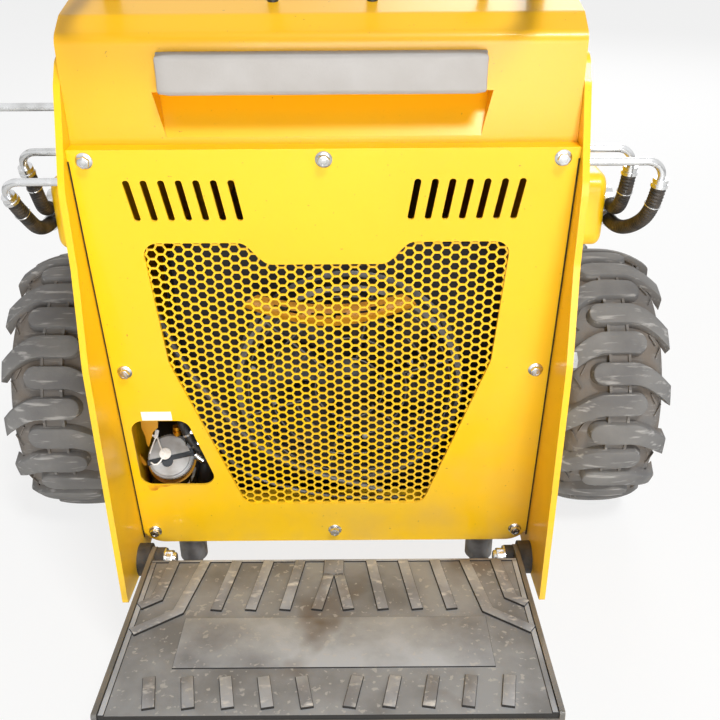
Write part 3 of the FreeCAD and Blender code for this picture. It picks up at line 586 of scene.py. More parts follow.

# ---------------------------------------------------------------- fan cowl and slotted baffle
# A black sheet cowl with a folded rim closes the space round the fan, and a sheet runs on
# to the panel's foot.  Their black is painted shade for the dark space behind the grille.
# A folded yellow baffle with slots hangs across it like a smile; its darker yellow is
# painted shade.
# Near-black, so that the space behind the grille looks dark: painted shade.
cowl_shade_black = mottled("black_cowl_painted_shade", (22, 21, 20), (44, 38, 32), 0.6, (18.0, 5.0, 0.45, 0.75))
cowl_half_x, cowl_half_z = 0.3, 0.268
cowl_steps = 64
cowl_fold = 0.05
cowl_sheet = 0.0015
cowl = bmesh.new()
inner, outer = [], []
for number in range(cowl_steps):
    turn = math.tau * number / cowl_steps
    x, z = math.cos(turn), math.sin(turn)
    reach = 1.0 / max(abs(x) / cowl_half_x, abs(z) / cowl_half_z)
    inner.append(cowl.verts.new((shroud_radius * x, 0.0, shroud_radius * z)))
    outer.append(cowl.verts.new((reach * x, 0.0, reach * z)))
rims = []
for number in range(cowl_steps):
    after = (number + 1) % cowl_steps
    cowl.faces.new((inner[number], outer[number], outer[after], inner[after]))
    rims.append(cowl.edges.get((outer[number], outer[after])))
folded = verts_of(bmesh.ops.extrude_edge_only(cowl, edges=rims))
bmesh.ops.translate(cowl, verts=folded, vec=(0.0, -cowl_fold, 0.0))
floor_back = panel_foot.y + 0.012 - fan_centre.y
cowl.faces.new([cowl.verts.new(spot) for spot in (
    (-0.25, -0.002, -0.262), (0.33, -0.002, -0.262), (0.33, floor_back, -0.24),
    (-0.25, floor_back, -0.24))])
bmesh.ops.solidify(cowl, geom=cowl.faces[:], thickness=cowl_sheet)
finished(cowl, "fan_cowl", cowl_shade_black, moved(*fan_centre))


def smile(across):
    """The height of the baffle's lower edge, which rises to both sides."""
    return 0.663 + 0.036 * abs(across) ** 1.7


# A darker, more orange copy of the yellow enamel: painted shade for the shade inside the machine.
shaded_inner_yellow = painted("inner_enamel_painted_shade", (232, 166, 20), (214, 146, 16), 0.5, 0.5)
slot_spans = ((-0.66, -0.34), (-0.24, 0.2), (0.32, 0.68))
baffle = bmesh.new()
bmesh.ops.create_grid(baffle, x_segments=60, y_segments=9, size=0.5)
for v in baffle.verts:
    across = 2 * v.co.x
    rise = v.co.y + 0.5
    high_edge = 0.7035 + 0.0185 * across * across
    v.co = (across * (0.143 - 0.024 * rise ** 3), -0.008 * math.sin(math.pi * rise),
            smile(across) + (high_edge - smile(across)) * rise)
slots = []
for face in baffle.faces:
    middle = face.calc_center_median()
    across = middle.x / 0.14
    rise = (middle.z - smile(across)) / 0.038
    if abs(rise - 0.6) < 0.07 and any(start < across < end for start, end in slot_spans):
        slots.append(face)
bmesh.ops.delete(baffle, geom=slots, context="FACES")
bmesh.ops.solidify(baffle, geom=baffle.faces[:], thickness=0.002)
finished(baffle, "yellow_baffle", shaded_inner_yellow, moved(y=rear_axle.y - 0.475))

# ---------------------------------------------------------------- pipes behind the screen
# Two bent steel coolant pipes curve across the cowl, a thick one and a thin one, with a
# few hexagon heads that hold the cowl beside them.
coolant_route = [(-0.296, 0.716), (-0.285, 0.683), (-0.265, 0.621), (-0.241, 0.572),
                 (-0.205, 0.517), (-0.173, 0.467), (-0.139, 0.428), (-0.096, 0.395),
                 (-0.051, 0.372), (-0.006, 0.354), (0.042, 0.338), (0.088, 0.326)]
return_route = [(-0.206, 0.432), (-0.190, 0.393), (-0.162, 0.367), (-0.133, 0.349),
                (-0.090, 0.332), (-0.029, 0.314), (0.013, 0.308), (0.070, 0.305), (0.131, 0.307)]
cowl_heads = ((-0.136, 0.580), (-0.102, 0.513), (-0.104, 0.471), (0.135, 0.592), (0.136, 0.566),
              (0.057, 0.440), (0.115, 0.431))
pipes_y = rear_axle.y - 0.48


def smooth_line(points):
    """The points of a smooth NURBS line through a route, even enough for a hose's rings."""
    curve = bpy.data.curves.new("route", "CURVE")
    curve.dimensions = "3D"
    spline = curve.splines.new("NURBS")
    spline.points.add(len(points) - 1)
    for knot, point in zip(spline.points, points):
        knot.co = (*point, 1.0)
    spline.order_u = 3
    spline.use_endpoint_u = True
    spline.resolution_u = 60
    holder = bpy.data.objects.new("route", curve)
    drawn = bpy.data.meshes.new_from_object(holder)
    line = [v.co.copy() for v in drawn.vertices]
    bpy.data.meshes.remove(drawn)
    bpy.data.objects.remove(holder)
    bpy.data.curves.remove(curve)
    return line


def round_line(shape, line, radius, sides=12):
    """A round pipe along a line of points, closed at both ends."""
    tube = bmesh.new()
    last = len(line) - 1
    bmesh.ops.create_grid(tube, x_segments=last, y_segments=sides, size=0.5)
    for v in tube.verts:
        number = round((v.co.x + 0.5) * last)
        turn = (v.co.y + 0.5) * math.tau
        ahead = (line[min(number + 1, last)] - line[max(number - 1, 0)]).normalized()
        across = ahead.cross(Vector((0.1, 0.98, 0.15))).normalized()
        outward = across * math.cos(turn) + ahead.cross(across) * math.sin(turn)
        v.co = line[number] + outward * radius
    bmesh.ops.remove_doubles(tube, verts=tube.verts, dist=1e-5)
    bmesh.ops.holes_fill(tube, edges=[e for e in tube.edges if e.is_boundary], sides=sides)
    join(shape, tube)


inner_pipes = bmesh.new()
for route, pipe_radius in ((coolant_route, 0.0062), (return_route, 0.0042)):
    round_line(inner_pipes, smooth_line([(x, pipes_y, z) for x, z in route]), pipe_radius)
for x, z in cowl_heads:
    hexagon(inner_pipes, aimed((x, pipes_y + 0.01, z), (0.0, -1.0, 0.3)), 0.006, 0.006)
finished(inner_pipes, "inner_pipes", dull_metal)

# ---------------------------------------------------------------- fuel tank and cap
# A roto-moulded black tank low on the left, with its neck up to a grey screw cap.  The cap
# has a knurled rim, two raised half rounds and a finger slot with a round middle.
black_plastic = new_finish("black_moulding", (36, 36, 38), 0.5)
uneven(black_plastic, 30.0, 0.4, 0.62, 0.35)
grain(black_plastic, 340.0, 2.0, 0.0002)
dress(black_plastic, "black_plastic", "fuel_tank")
cap_grey = mottled("grey_cap", (180, 182, 184), (152, 150, 148), 0.55, (45.0, 5.0, 0.42, 0.72))
grain(cap_grey, 600.0, 1.0, 0.00015)
cap_dark = new_finish("dark_slot", (52, 57, 63), 0.5)
uneven(cap_dark, 60.0, 0.42, 0.65)

cap_low, cap_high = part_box("fuel_cap")
cap_half = 0.012
cap_rim = (cap_high.x - cap_low.x) / 2 * 0.985
knurl_count = 96
cap_place = aimed((cap_low + cap_high) / 2, (0.0, -0.722, 0.692))
right = cap_place.to_3x3().inverted() @ Vector((1.0, 0.0, 0.0))
cap_place = cap_place @ Matrix.Rotation(math.atan2(right.y, right.x), 4, "Z")
slot_place = cap_place @ Matrix.Rotation(math.radians(12.2), 4, "Z")
face_radius = cap_rim * 0.87
face_level = cap_half - 0.0045
slot_low, slot_high = -0.0088, 0.0012
bite_x, bite_radius = -0.006, 0.0105

cap = bmesh.new()
lathe(cap, [(-cap_half, 0.0), (-cap_half, cap_rim - 0.002), (-cap_half + 0.003, cap_rim),
            (cap_half - 0.007, cap_rim), (cap_half - 0.004, cap_rim - 0.003),
            (cap_half - 0.004, 0.0)], cap_place, knurl_count)
for v in cap.verts:
    local = cap_place.inverted() @ v.co
    number = round(math.atan2(local.y, local.x) / math.tau * knurl_count)
    if local.xy.length > cap_rim - 0.0005 and number % 2 == 0:
        v.co = cap_place @ Vector((local.x * 0.968, local.y * 0.968, local.z))
finished(cap, "fuel_cap_body", cap_grey, smooth_angle=28.0)


def arc(radius, start, end, steps, x=0.0, y=0.0):
    """Points along a circle round x and y, from one angle to another."""
    turns = [start + (end - start) * number / steps for number in range(steps + 1)]
    return [(x + radius * math.cos(turn), y + radius * math.sin(turn)) for turn in turns]


high_turn = math.asin(slot_high / face_radius)
low_turn = math.asin(-slot_low / face_radius)
upper_half = arc(face_radius, high_turn, math.pi - high_turn, 40)
lower_half = arc(face_radius, math.pi + low_turn, math.tau - low_turn, 40)
lower_half += arc(bite_radius, 0.0, -math.pi, 20, bite_x, slot_low)
halves = bmesh.new()
for outline in (upper_half, lower_half):
    plate(halves, [(x, y, 0.0) for x, y in outline], (0.0, 0.0, 0.006))
eased(halves, edges_above(halves, 0.0059), 0.001)
halves_piece = finished(halves, "fuel_cap_grips", cap_grey,
                        slot_place @ moved(z=face_level))
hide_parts("fuel_cap")


def block(shape, size, radius, place):
    """A small block with rounded edges."""
    made = bmesh.new()
    bmesh.ops.create_cube(made, size=1.0)
    bmesh.ops.scale(made, verts=made.verts, vec=size)
    eased(made, made.edges[:], radius)
    join(shape, made, place)


slot_plate = bmesh.new()
lathe(slot_plate, [(cap_half - 0.0042, 0.0), (cap_half - 0.0042, face_radius - 0.002),
                   (cap_half - 0.0037, face_radius - 0.002), (cap_half - 0.0034, 0.0)],
      cap_place, 48)
block(slot_plate, (2 * cap_rim + 0.0008, 0.0096, 0.0065), 0.0006,
      slot_place @ moved(0.0, (slot_low + slot_high) / 2, cap_half - 0.0065))
block(slot_plate, (0.0125, 0.0085, 0.0075), 0.0006,
      slot_place @ moved(cap_rim - 0.0065, slot_high + 0.0005, cap_half - 0.0055))
finished(slot_plate, "fuel_cap_slot", cap_dark)

# ---------------------------------------------------------------- blank tag on the cap
# A blank round tag of white nylon on a looped tie, which is pulled through its square
# head and hangs from the cap's edge.
nylon = mottled("white_nylon", (253, 253, 251), (236, 230, 220), 0.4, (150.0, 3.0, 0.45, 0.75))
tie_runs = [[(-0.0255, 0.036, 0.003), (-0.031, 0.02, 0.0035), (-0.0362, 0.0035, 0.0015)],
            [(-0.0245, 0.036, 0.003), (-0.019, 0.022, 0.004), (-0.0145, 0.010, 0.0022),
             (-0.0095, 0.0052, 0.0018)],
            [(-0.0125, -0.003, 0.001), (-0.0160, -0.0105, 0.0012), (-0.0215, -0.0158, 0.001),
             (-0.0275, -0.0165, 0.0005), (-0.0335, -0.0125, -0.0003)]]


def straight_run(shape, points, radius, segments=16, place=Matrix(), overlap=0.0, balls=True):
    """A round line through points, each bend closed by a ball."""
    for start, end in zip(points, points[1:]):
        start, end = Vector(start), Vector(end)
        made = bmesh.ops.create_cone(shape, cap_ends=True, segments=segments, radius1=radius,
                                     radius2=radius, depth=(end - start).length + overlap)
        bmesh.ops.transform(shape, matrix=place @ aimed((start + end) / 2, end - start),
                            verts=made["verts"])
    for point in points[1:-1] if balls else []:
        made = bmesh.ops.create_uvsphere(shape, u_segments=segments, v_segments=8, radius=radius)
        bmesh.ops.translate(shape, verts=made["verts"], vec=point)


tag = bmesh.new()
on_face = cap_place @ moved(z=cap_half + 0.0018)
lathe(tag, [(0.0, 0.0), (0.0, 0.0107), (0.0004, 0.011), (0.0008, 0.0107), (0.0008, 0.0)],
      on_face @ moved(-0.008, 0.0036, 0.0012), 40)
block(tag, (0.0066, 0.0155, 0.005), 0.0008,
      on_face @ moved(-0.025, 0.039, 0.004) @ Matrix.Rotation(-0.15, 4, "Z"))
block(tag, (0.008, 0.0035, 0.003), 0.0006, on_face @ moved(-0.029, 0.0365, 0.0035))
for run in tie_runs:
    straight_run(tag, run, 0.0014, 10, on_face, 0.0006, False)
finished(tag, "blank_tag", nylon)

# ---------------------------------------------------------------- filler neck and fuel lines
# Round the cap stand the neck's yellow collar and strap, a rubber fuel hose with bright
# clamps and unions, a brass fitting and a white nylon return line.
strap_y = rear_axle.y - 0.45
straps = [[(-0.350, 0.466), (-0.318, 0.466), (-0.320, 0.446), (-0.330, 0.436), (-0.336, 0.419),
           (-0.342, 0.403), (-0.345, 0.411), (-0.3455, 0.4265), (-0.350, 0.444)],
          [(-0.366, 0.403), (-0.3614, 0.391), (-0.353, 0.3715), (-0.350, 0.362),
           (-0.356, 0.362), (-0.3634, 0.378), (-0.3656, 0.393)]]
# The collar and its straps take the darker copy of the yellow: painted shade.
collar = bmesh.new()
lathe(collar, [(-0.021, 0.03), (-0.021, 0.0446), (-0.0185, 0.0446), (-0.0185, 0.03),
               (-0.021, 0.03)], cap_place @ moved(-0.002, -0.003, 0.0), 64)
for strap in straps:
    plate(collar, [(x, strap_y, z) for x, z in strap], (0.0, 0.003, 0.0))
finished(collar, "neck_collar", shaded_inner_yellow)

inside_y = rear_axle.y - 0.447


def inside(*points):
    """Points inside the window: x, how far forward, and height."""
    return [(x, inside_y + forward, z) for x, forward, z in points]


fuel_hose = bmesh.new()
straight_run(fuel_hose, inside((-0.285, 0.03, 0.478), (-0.276, 0.0, 0.452), (-0.262, -0.004, 0.418),
                               (-0.250, -0.004, 0.396), (-0.232, 0.0, 0.365),
                               (-0.205, 0.03, 0.325)), 0.0082, 20)
straight_run(fuel_hose, inside((-0.243, 0.012, 0.36), (-0.247, 0.004, 0.33),
                               (-0.255, 0.015, 0.29)), 0.014, 24)
finished(fuel_hose, "fuel_hose", fan_plastic, smooth_angle=60.0)
bright = bmesh.new()
for x, z in ((-0.2680, 0.4325), (-0.2575, 0.4085)):
    lathe(bright, [(-0.002, 0.008), (-0.002, 0.0092), (0.002, 0.0092), (0.002, 0.008)],
          aimed((x, inside_y - 0.003, z), (0.36, 0.0, -0.93)), 24)
    screw = aimed((x + 0.009, inside_y - 0.006, z + 0.006), (0.3, -0.8, 0.4))
    hexagon(bright, screw, 0.0042, 0.006)
lathe(bright, [(-0.011, 0.0), (-0.011, 0.0068), (-0.007, 0.0068), (-0.006, 0.0082),
               (0.001, 0.0082), (0.002, 0.006), (0.009, 0.006), (0.011, 0.0)],
      aimed((-0.2475, inside_y - 0.016, 0.3885), (0.7, -0.1, -0.7)), 18)
finished(bright, "fuel_unions", zinc)
brass = new_finish("passivated_brass", (216, 158, 44), 0.3, 1.0)
uneven(brass, 80.0, 0.25, 0.45)
fitting = bmesh.new()
lathe(fitting, [(0.0, 0.0), (0.0, 0.0065), (0.006, 0.0065), (0.006, 0.0082), (0.009, 0.0082),
                (0.009, 0.0062), (0.014, 0.0062), (0.014, 0.0078), (0.019, 0.0074), (0.02, 0.0)],
      aimed((-0.287, inside_y, 0.428), (0.05, 0.0, 1.0)), 20)
finished(fitting, "brass_fitting", brass)
return_line = bmesh.new()
straight_run(return_line, inside((-0.292, 0.004, 0.294), (-0.2825, -0.002, 0.310),
                                 (-0.2745, -0.004, 0.3215), (-0.2670, -0.002, 0.336),
                                 (-0.2625, 0.012, 0.352)), 0.0026, 12)
finished(return_line, "return_line", nylon, smooth_angle=60.0)

# ---------------------------------------------------------------- console, knee pad and controls
# A folded yellow console that leans over the panel, with a foam pad across its upper
# edge, a bent steel rail, two drive levers and a small lever for the loader.
# A darker, more orange copy of the panel's yellow: painted shade for the shade under the console's
# overhang.
shaded_console_paint = painted("console_enamel_painted_shade", (244, 184, 8), (238, 173, 7), 0.4, 0.3)
dress(shaded_console_paint, "yellow_paint", "console")
foam = mottled("grey_foam", (182, 178, 174), (168, 162, 156), 0.85, (16.0, 5.0, 0.3, 1.0))
grain(foam, 420.0, 3.0, 0.00035)
pad_low, pad_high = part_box("knee_pad")
pad_middle = (pad_low + pad_high) / 2
pad_half = (pad_high - pad_low) / 2
pad_round = 0.008
crown_height = 0.002
pad = bmesh.new()
bmesh.ops.create_cube(pad, size=2.0)
bmesh.ops.subdivide_edges(pad, edges=pad.edges[:], cuts=27, use_grid_fill=True)
for v in pad.verts:
    spot = Vector(v.co[n] * pad_half[n] for n in range(3))
    corner = pad_round if v.co.y < 0.5 else 0.0015
    core = Vector(max(corner - pad_half[n], min(pad_half[n] - corner, spot[n])) for n in range(3))
    if (spot - core).length > 1e-9:
        spot = core + (spot - core).normalized() * corner
    if v.co.y < 0:
        bulge = (1 - v.co.x ** 2) * (1 - v.co.z ** 2)
        spot.y += crown_height * (1 - bulge) * -v.co.y
    spot.x *= 1 - 0.0035 * (1 - v.co.z ** 2)
    spot.z *= 1 - 0.012 * (1 - v.co.x ** 2) * (0.6 + 0.4 * math.sin(9 * v.co.x))
    v.co = spot + pad_middle
pad_piece = finished(pad, "foam_knee_pad", foam, smooth_angle=60.0)
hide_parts("knee_pad")
black_paint = painted("black_enamel", (30, 30, 31), (24, 24, 24), 0.4, 0.45)
dress(black_paint, "black_paint", "hand_rail")
dress(black_plastic, "black_plastic", "drive_levers", "loader_lever")

# ---------------------------------------------------------------- bonnet hinge
# A plain pin of bare, worn steel through the rear bonnet's knuckle, on which the
# bonnet tips open.
worn_steel = new_finish("worn_steel", (142, 140, 136), 0.42, 0.9)
streak = ramp(cloud(worn_steel, 30.0, 6.0, (1.0, 14.0, 1.0)), 0.35, 0.7)
drive(worn_steel, "Base Color", lay(streak, (150, 148, 143), (104, 92, 78)))
drive(worn_steel, "Roughness", ramp(streak, 0.0, 1.0, 0.32, 0.6))
dress(worn_steel, "worn_steel", "cover_hinge_pin")

# ---------------------------------------------------------------- wheel motors and wheels
# Cast hydraulic wheel motors are bolted to the side plates.  Each drives a pressed steel
# wheel that is held by five nuts round its hub.
wheel_names = ("front_left", "front_right", "rear_left", "rear_right")
dress(cast, "cast_iron", *("wheel_motor_" + name for name in wheel_names))
wheel_yellow = painted("wheel_enamel", (240, 192, 24), (228, 174, 16), 0.42, 0.8)
nut_circle = 0.088
nut_count = 5
for name in wheel_names:
    dress(wheel_yellow, "wheel_paint", "wheel_" + name)
    low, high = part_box("tyre_" + name)
    hub = (low + high) / 2
    outward = math.copysign(1.0, hub.x)
    nuts = bmesh.new()
    for number in range(nut_count):
        turn = math.tau * number / nut_count + 0.2
        seat = Vector((outward * 0.006, nut_circle * math.cos(turn), nut_circle * math.sin(turn)))
        place = aimed(hub + seat, (outward, 0.0, 0.0))
        lathe(nuts, [(0.0, 0.0), (0.0, 0.0145), (0.0025, 0.0145), (0.0025, 0.0)], place, 20)
        hexagon(nuts, place, 0.0125, 0.012)
        lathe(nuts, [(0.012, 0.0), (0.012, 0.0062), (0.021, 0.0058), (0.022, 0.0)], place, 12)
    finished(nuts, "wheel_nuts_" + name, zinc, body="wheel_" + name)

# ---------------------------------------------------------------- tyres
# Cross-ply tyres with fourteen bars a side.  Each bar starts in a round end past the
# middle, runs across the crown and sweeps back over the shoulder; dust lies between them.
outer_radius = (rear_high.z - rear_low.z) / 2
tyre_half = (rear_high.x - rear_low.x) / 2
tread_radius = outer_radius - 0.012
bar_count = 14
bar_half = 0.0225
bar_tip = -0.056
bar_bend = 0.028
bar_sweep = 0.05
bar_phase = math.radians(30.0)
bar_steps = 17
tip_steps = 5
foot_flare = 1.16
foot_sink = -0.12
pitch = math.tau / bar_count
gap = pitch / 2 * tread_radius
# Each tie or rib between the bars: across, back, width, length, rise and slant.
ties = ((0.0, gap / 2, 0.034, 0.024, 0.42, 0.0), (-0.0195, gap / 2, 0.0055, 0.026, 0.62, 0.0),
        (0.0195, gap / 2, 0.0055, 0.026, 0.62, 0.0), (0.072, gap * 0.86, 0.0028, 0.022, 0.28, 0.5),
        (0.083, gap * 1.28, 0.0028, 0.024, 0.28, -0.55))
half_profile = [(0.0, 0.271), (0.05, 0.2695), (0.078, 0.2655), (0.09, 0.256), (0.098, 0.240),
                (0.1005, 0.222), (0.0985, 0.205), (0.0985, 0.2035), (0.0968, 0.2032),
                (0.0968, 0.199), (0.0955, 0.196), (0.089, 0.176), (0.0845, 0.168),
                (0.084, 0.160), (0.0815, 0.154), (0.0815, 0.153)]


def wrapped(u, v, rise):
    """A point of the flat tread, u across and v back, wrapped on the wheel at a rise of 0 to 1."""
    fall = min(max((abs(u) - 0.082) / 0.026, 0.0), 1.0)
    casing = outer_radius - 0.0215 - 0.006 * (u / 0.1) ** 2 - 0.03 * fall * fall * (3 - 2 * fall)
    crown = outer_radius - 0.0004 - 0.028 * abs(u / tyre_half) ** 2.6
    radius = casing + (crown - casing) * rise
    turn = v / tread_radius
    return Vector((u, -radius * math.cos(turn), -radius * math.sin(turn)))


bar = bmesh.new()
rise_of = bar.verts.layers.float.new("rise")
bmesh.ops.create_grid(bar, x_segments=bar_steps, y_segments=4, size=0.5)
for v in bar.verts:
    step = round((v.co.x + 0.5) * bar_steps)
    if step <= tip_steps:
        angle = math.radians(12.0 + 78.0 * step / tip_steps)
        u = bar_tip + bar_half * (1 - math.cos(angle))
        half = bar_half * math.sin(angle)
    else:
        along = (step - tip_steps) / (bar_steps - tip_steps)
        u = bar_tip + bar_half + (tyre_half - 0.0006 - bar_tip - bar_half) * along
        half = bar_half
    v.co = (u, 2 * v.co.y * half, 0.0)
thickened(bar, bar.faces[:], (0.0, 0.0, 1.0))
for v in bar.verts:
    if v.co.z < 0.5:
        middle = min(max(v.co.x, bar_tip + bar_half), 1.0)
        v.co = (middle + (v.co.x - middle) * foot_flare, v.co.y * foot_flare, foot_sink)
lip = [e for e in edges_above(bar, 0.9) if e.calc_face_angle(0.0) > 0.6]
flat = 0.02
for v in bar.verts:
    v.co.z *= flat
eased(bar, lip, 0.0028)
for v in bar.verts:
    rise = v.co.z / flat
    v[rise_of] = min(max(rise, 0.0), 1.0)
    u = min(v.co.x, tyre_half - 0.0005)
    sweep = bar_sweep * max((u - bar_bend) / (tyre_half - bar_bend), 0.0) ** 1.7
    v.co = wrapped(u, v.co.y + sweep, rise)

tyre = bmesh.new()
tyre.verts.layers.float.new("rise")
lathe(tyre, [(-u, r) for u, r in reversed(half_profile[1:])] + half_profile,
      Matrix.Rotation(math.pi / 2, 4, "Y"), 112)
bmesh.ops.bridge_loops(tyre, edges=[e for e in tyre.edges if e.is_boundary])

tread = bmesh.new()
rise_of = tread.verts.layers.float.new("rise")
for hand in (1, -1):
    for number in range(bar_count):
        turn = bar_phase + (number if hand > 0 else number - 0.5) * pitch
        place = Matrix.Rotation(-turn, 4, "X") @ Matrix.Diagonal((hand, 1.0, 1.0, 1.0))
        copy = bar.copy()
        if hand < 0:
            bmesh.ops.reverse_faces(copy, faces=copy.faces)
        join(tread, copy, place)
bar.free()
for number in range(2 * bar_count):
    hand = -1 if number % 2 else 1
    place = Matrix.Rotation(-bar_phase - number * pitch / 2, 4, "X")
    for across, back, wide, long, rise, slant in ties:
        verts = bmesh.ops.create_cube(tread, size=1.0)["verts"]
        for v in verts:
            u = across + v.co.x * wide + slant * v.co.y * long
            level = rise if v.co.z > 0 else -0.1
            v[rise_of] = max(level, 0.0) * 0.6
            v.co = wrapped(u * hand, back + v.co.y * long, level)
        bmesh.ops.transform(tread, matrix=place, verts=verts)
join(tyre, tread)

tyre_rubber = new_finish("dusty_tyre_rubber", (84, 81, 79), 0.82)


def carried(finish, name):
    """A value that a piece's own vertices carry."""
    node = finish.node_tree.nodes.new("ShaderNodeAttribute")
    node.attribute_name = name
    return node.outputs["Fac"]


low_ground = ramp(carried(tyre_rubber, "rise"), 0.75, 0.05)
patches = ramp(cloud(tyre_rubber, 18.0, 6.0), 0.3, 0.62)
scuffs = ramp(cloud(tyre_rubber, 95.0, 6.0, (0.14, 1.0, 1.0), (0.0, 0.6, 0.7)), 0.57, 0.68)
tone = lay(ramp(cloud(tyre_rubber, 9.0, 5.0), 0.35, 0.7), (102, 101, 101), (130, 129, 127))
tone = lay(combine(scuffs, 0.55), tone, (186, 184, 181))
tone = lay(combine(low_ground, patches), tone, (112, 103, 94))
drive(tyre_rubber, "Base Color", tone)
grain(tyre_rubber, 210.0, 5.0, 0.0006)
for name in wheel_names:
    low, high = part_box("tyre_" + name)
    piece = finished(tyre.copy(), "treaded_tyre_" + name, tyre_rubber,
                     moved(*(low + high) / 2), "wheel_" + name, 32.0)
    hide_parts("tyre_" + name)
tyre.free()

# ---------------------------------------------------------------- lift arms and pins
# Two arms cut from heavy box section, joined by two round cross tubes.  They turn on
# steel pins, and the lift cylinders' base pins end in a nut and a grease nipple.
dress(yellow, "yellow_paint", "lift_arm_left", "lift_arm_right", "arm_cross_tube",
      "arm_upper_tube")
dress(worn_steel, "zinc", "arm_pivot_pin_left", "arm_pivot_pin_right", "rod_pin_left",
      "rod_pin_right", "lift_base_pin_left", "lift_base_pin_right")
joints = {joint["name"]: joint for joint in frame["joints"]}
cross_low, cross_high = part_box("arm_cross_tube")
cross_radius = (cross_high.z - cross_low.z) / 2
upper_low, upper_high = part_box("arm_upper_tube")
upper_radius = 0.038
tubes = (((cross_low.y + cross_high.y) / 2, (cross_low.z + cross_high.z) / 2, cross_radius),
         (upper_low.y + upper_radius, upper_high.z - upper_radius, upper_radius))


def outermost(name):
    """How far a CAD node reaches from the machine's middle."""
    low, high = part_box(name)
    return max(abs(low.x), abs(high.x))


for side, name in ((-1.0, "left"), (1.0, "right")):
    weld = bmesh.new()
    for y, z, radius in tubes:
        lathe(weld, [(0.0, radius - 0.001), (0.0, radius + 0.006), (0.003, radius + 0.005),
                     (0.006, radius - 0.0005)],
              aimed((side * (outermost("lift_arm_" + name) - 0.0712), y, z), (-side, 0.0, 0.0)), 48)
    finished(weld, "tube_welds_" + name, yellow, body="arms", smooth_angle=60.0)
    pin_x = outermost("lift_base_pin_" + name)
    pin_y, pin_z = joints["lift_" + name + "_swing"]["pos_m"][1:]
    fittings = bmesh.new()
    hexagon(fittings, aimed((side * pin_x, pin_y, pin_z), (side, 0.0, 0.0)), 0.017, 0.009)
    nipple = aimed((side * (pin_x - 0.006), pin_y, pin_z + 0.0115), (0.0, 0.0, 1.0))
    hexagon(fittings, nipple, 0.0052, 0.004)
    lathe(fittings, [(0.004, 0.0), (0.004, 0.0026), (0.008, 0.0022), (0.0095, 0.0032),
                     (0.012, 0.0028), (0.0132, 0.0)], nipple, 14)
    finished(fittings, "base_pin_nut_" + name, zinc)

# ---------------------------------------------------------------- lift and tilt cylinders
# Welded cylinders in black enamel with a screwed gland and a wiper at the rod end, two
# ports, and a hard-chromed rod that an oil film keeps bright.
chrome = new_finish("chromed_rod", (214, 216, 218), 0.12, 1.0)
uneven(chrome, 22.0, 0.08, 0.22, 0.35, 4.0)
dress(black_paint, "black_paint", "lift_left_barrel", "lift_right_barrel", "tilt_barrel")
dress(chrome, "chrome", "lift_left_rod", "lift_right_rod", "tilt_rod")
for name, length, radius, rod in (("lift_left", 0.345, 0.030, 0.015),
                                  ("lift_right", 0.345, 0.030, 0.015),
                                  ("tilt", 0.400, 0.028, 0.014)):
    place = aimed(joints[name + "_swing"]["pos_m"], joints[name + "_extend"]["axis"])
    gland = bmesh.new()
    lathe(gland, [(length - 0.04, radius - 0.002), (length - 0.04, radius + 0.003),
                  (length - 0.006, radius + 0.003), (length - 0.002, radius - 0.001),
                  (length + 0.0005, radius - 0.001), (length + 0.0005, rod + 0.006),
                  (length + 0.003, rod + 0.005), (length + 0.003, rod + 0.0007),
                  (length - 0.002, rod + 0.0007)], place, 48)
    for spot in (0.055, length - 0.055):
        port = place @ moved(z=spot) @ Matrix.Rotation(math.pi / 2, 4, "X")
        lathe(gland, [(radius - 0.002, 0.0), (radius - 0.002, 0.0125), (radius + 0.009, 0.0125),
                      (radius + 0.010, 0.0115), (radius + 0.010, 0.0)], port, 24)
        hexagon(gland, port @ moved(z=radius + 0.009), 0.0105, 0.008)
    finished(gland, name + "_gland", black_paint, body=name + "_cylinder")

# ---------------------------------------------------------------- carrier, bucket and cutting edge
# A welded carrier plate that hooks into the bucket.  The bucket is folded plate, yellow
# outside; digging has scoured its floor and its edge to bare, scratched steel.
bucket_paint = painted("bucket_enamel", (250, 200, 14), (243, 186, 12), 0.42, 0.5)
low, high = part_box("bucket")
shader = bucket_paint.node_tree.nodes["Principled BSDF"]
enamel = shader.inputs["Base Color"].links[0].from_socket
up = along_axis(bucket_paint, "ShaderNodeTexCoord", "Object", "Z")
ahead = along_axis(bucket_paint, "ShaderNodeTexCoord", "Object", "Y")
sideways = combine(along_axis(bucket_paint, "ShaderNodeNewGeometry", "True Normal", "X"), 0.0,
                   "ABSOLUTE")
scratch = ramp(cloud(bucket_paint, 46.0, 7.0, (1.0, 0.05, 0.12)), 0.3, 0.7)
worn = combine(ramp(up, high.z - 0.05, low.z + 0.01), combine(scratch, 0.45), "ADD")
worn = combine(worn, combine(sideways, 0.35), "SUBTRACT")
bare = combine(ramp(worn, 0.86, 1.04), ramp(ahead, low.y + 0.012, low.y + 0.09))
steel = lay(scratch, (158, 154, 148), (118, 106, 92))
drive(bucket_paint, "Base Color", lay(bare, enamel, steel))
drive(bucket_paint, "Metallic", combine(bare, 0.75))
dress(bucket_paint, "black_paint", "bucket")
dress(black_paint, "black_paint", "tool_carrier")
dress(worn_steel, "worn_steel", "cutting_edge")
edge_low, edge_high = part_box("cutting_edge")
edge_bolts = bmesh.new()
for x in (-0.6, -0.36, -0.12, 0.12, 0.36, 0.6):
    place = aimed((x, edge_low.y + 0.03, edge_high.z), (0.0, 0.0, 1.0))
    lathe(edge_bolts, [(-0.001, 0.0), (-0.001, 0.014), (0.002, 0.012), (0.0035, 0.007),
                       (0.004, 0.0)], place, 24)
finished(edge_bolts, "edge_bolts", worn_steel, body="carrier")

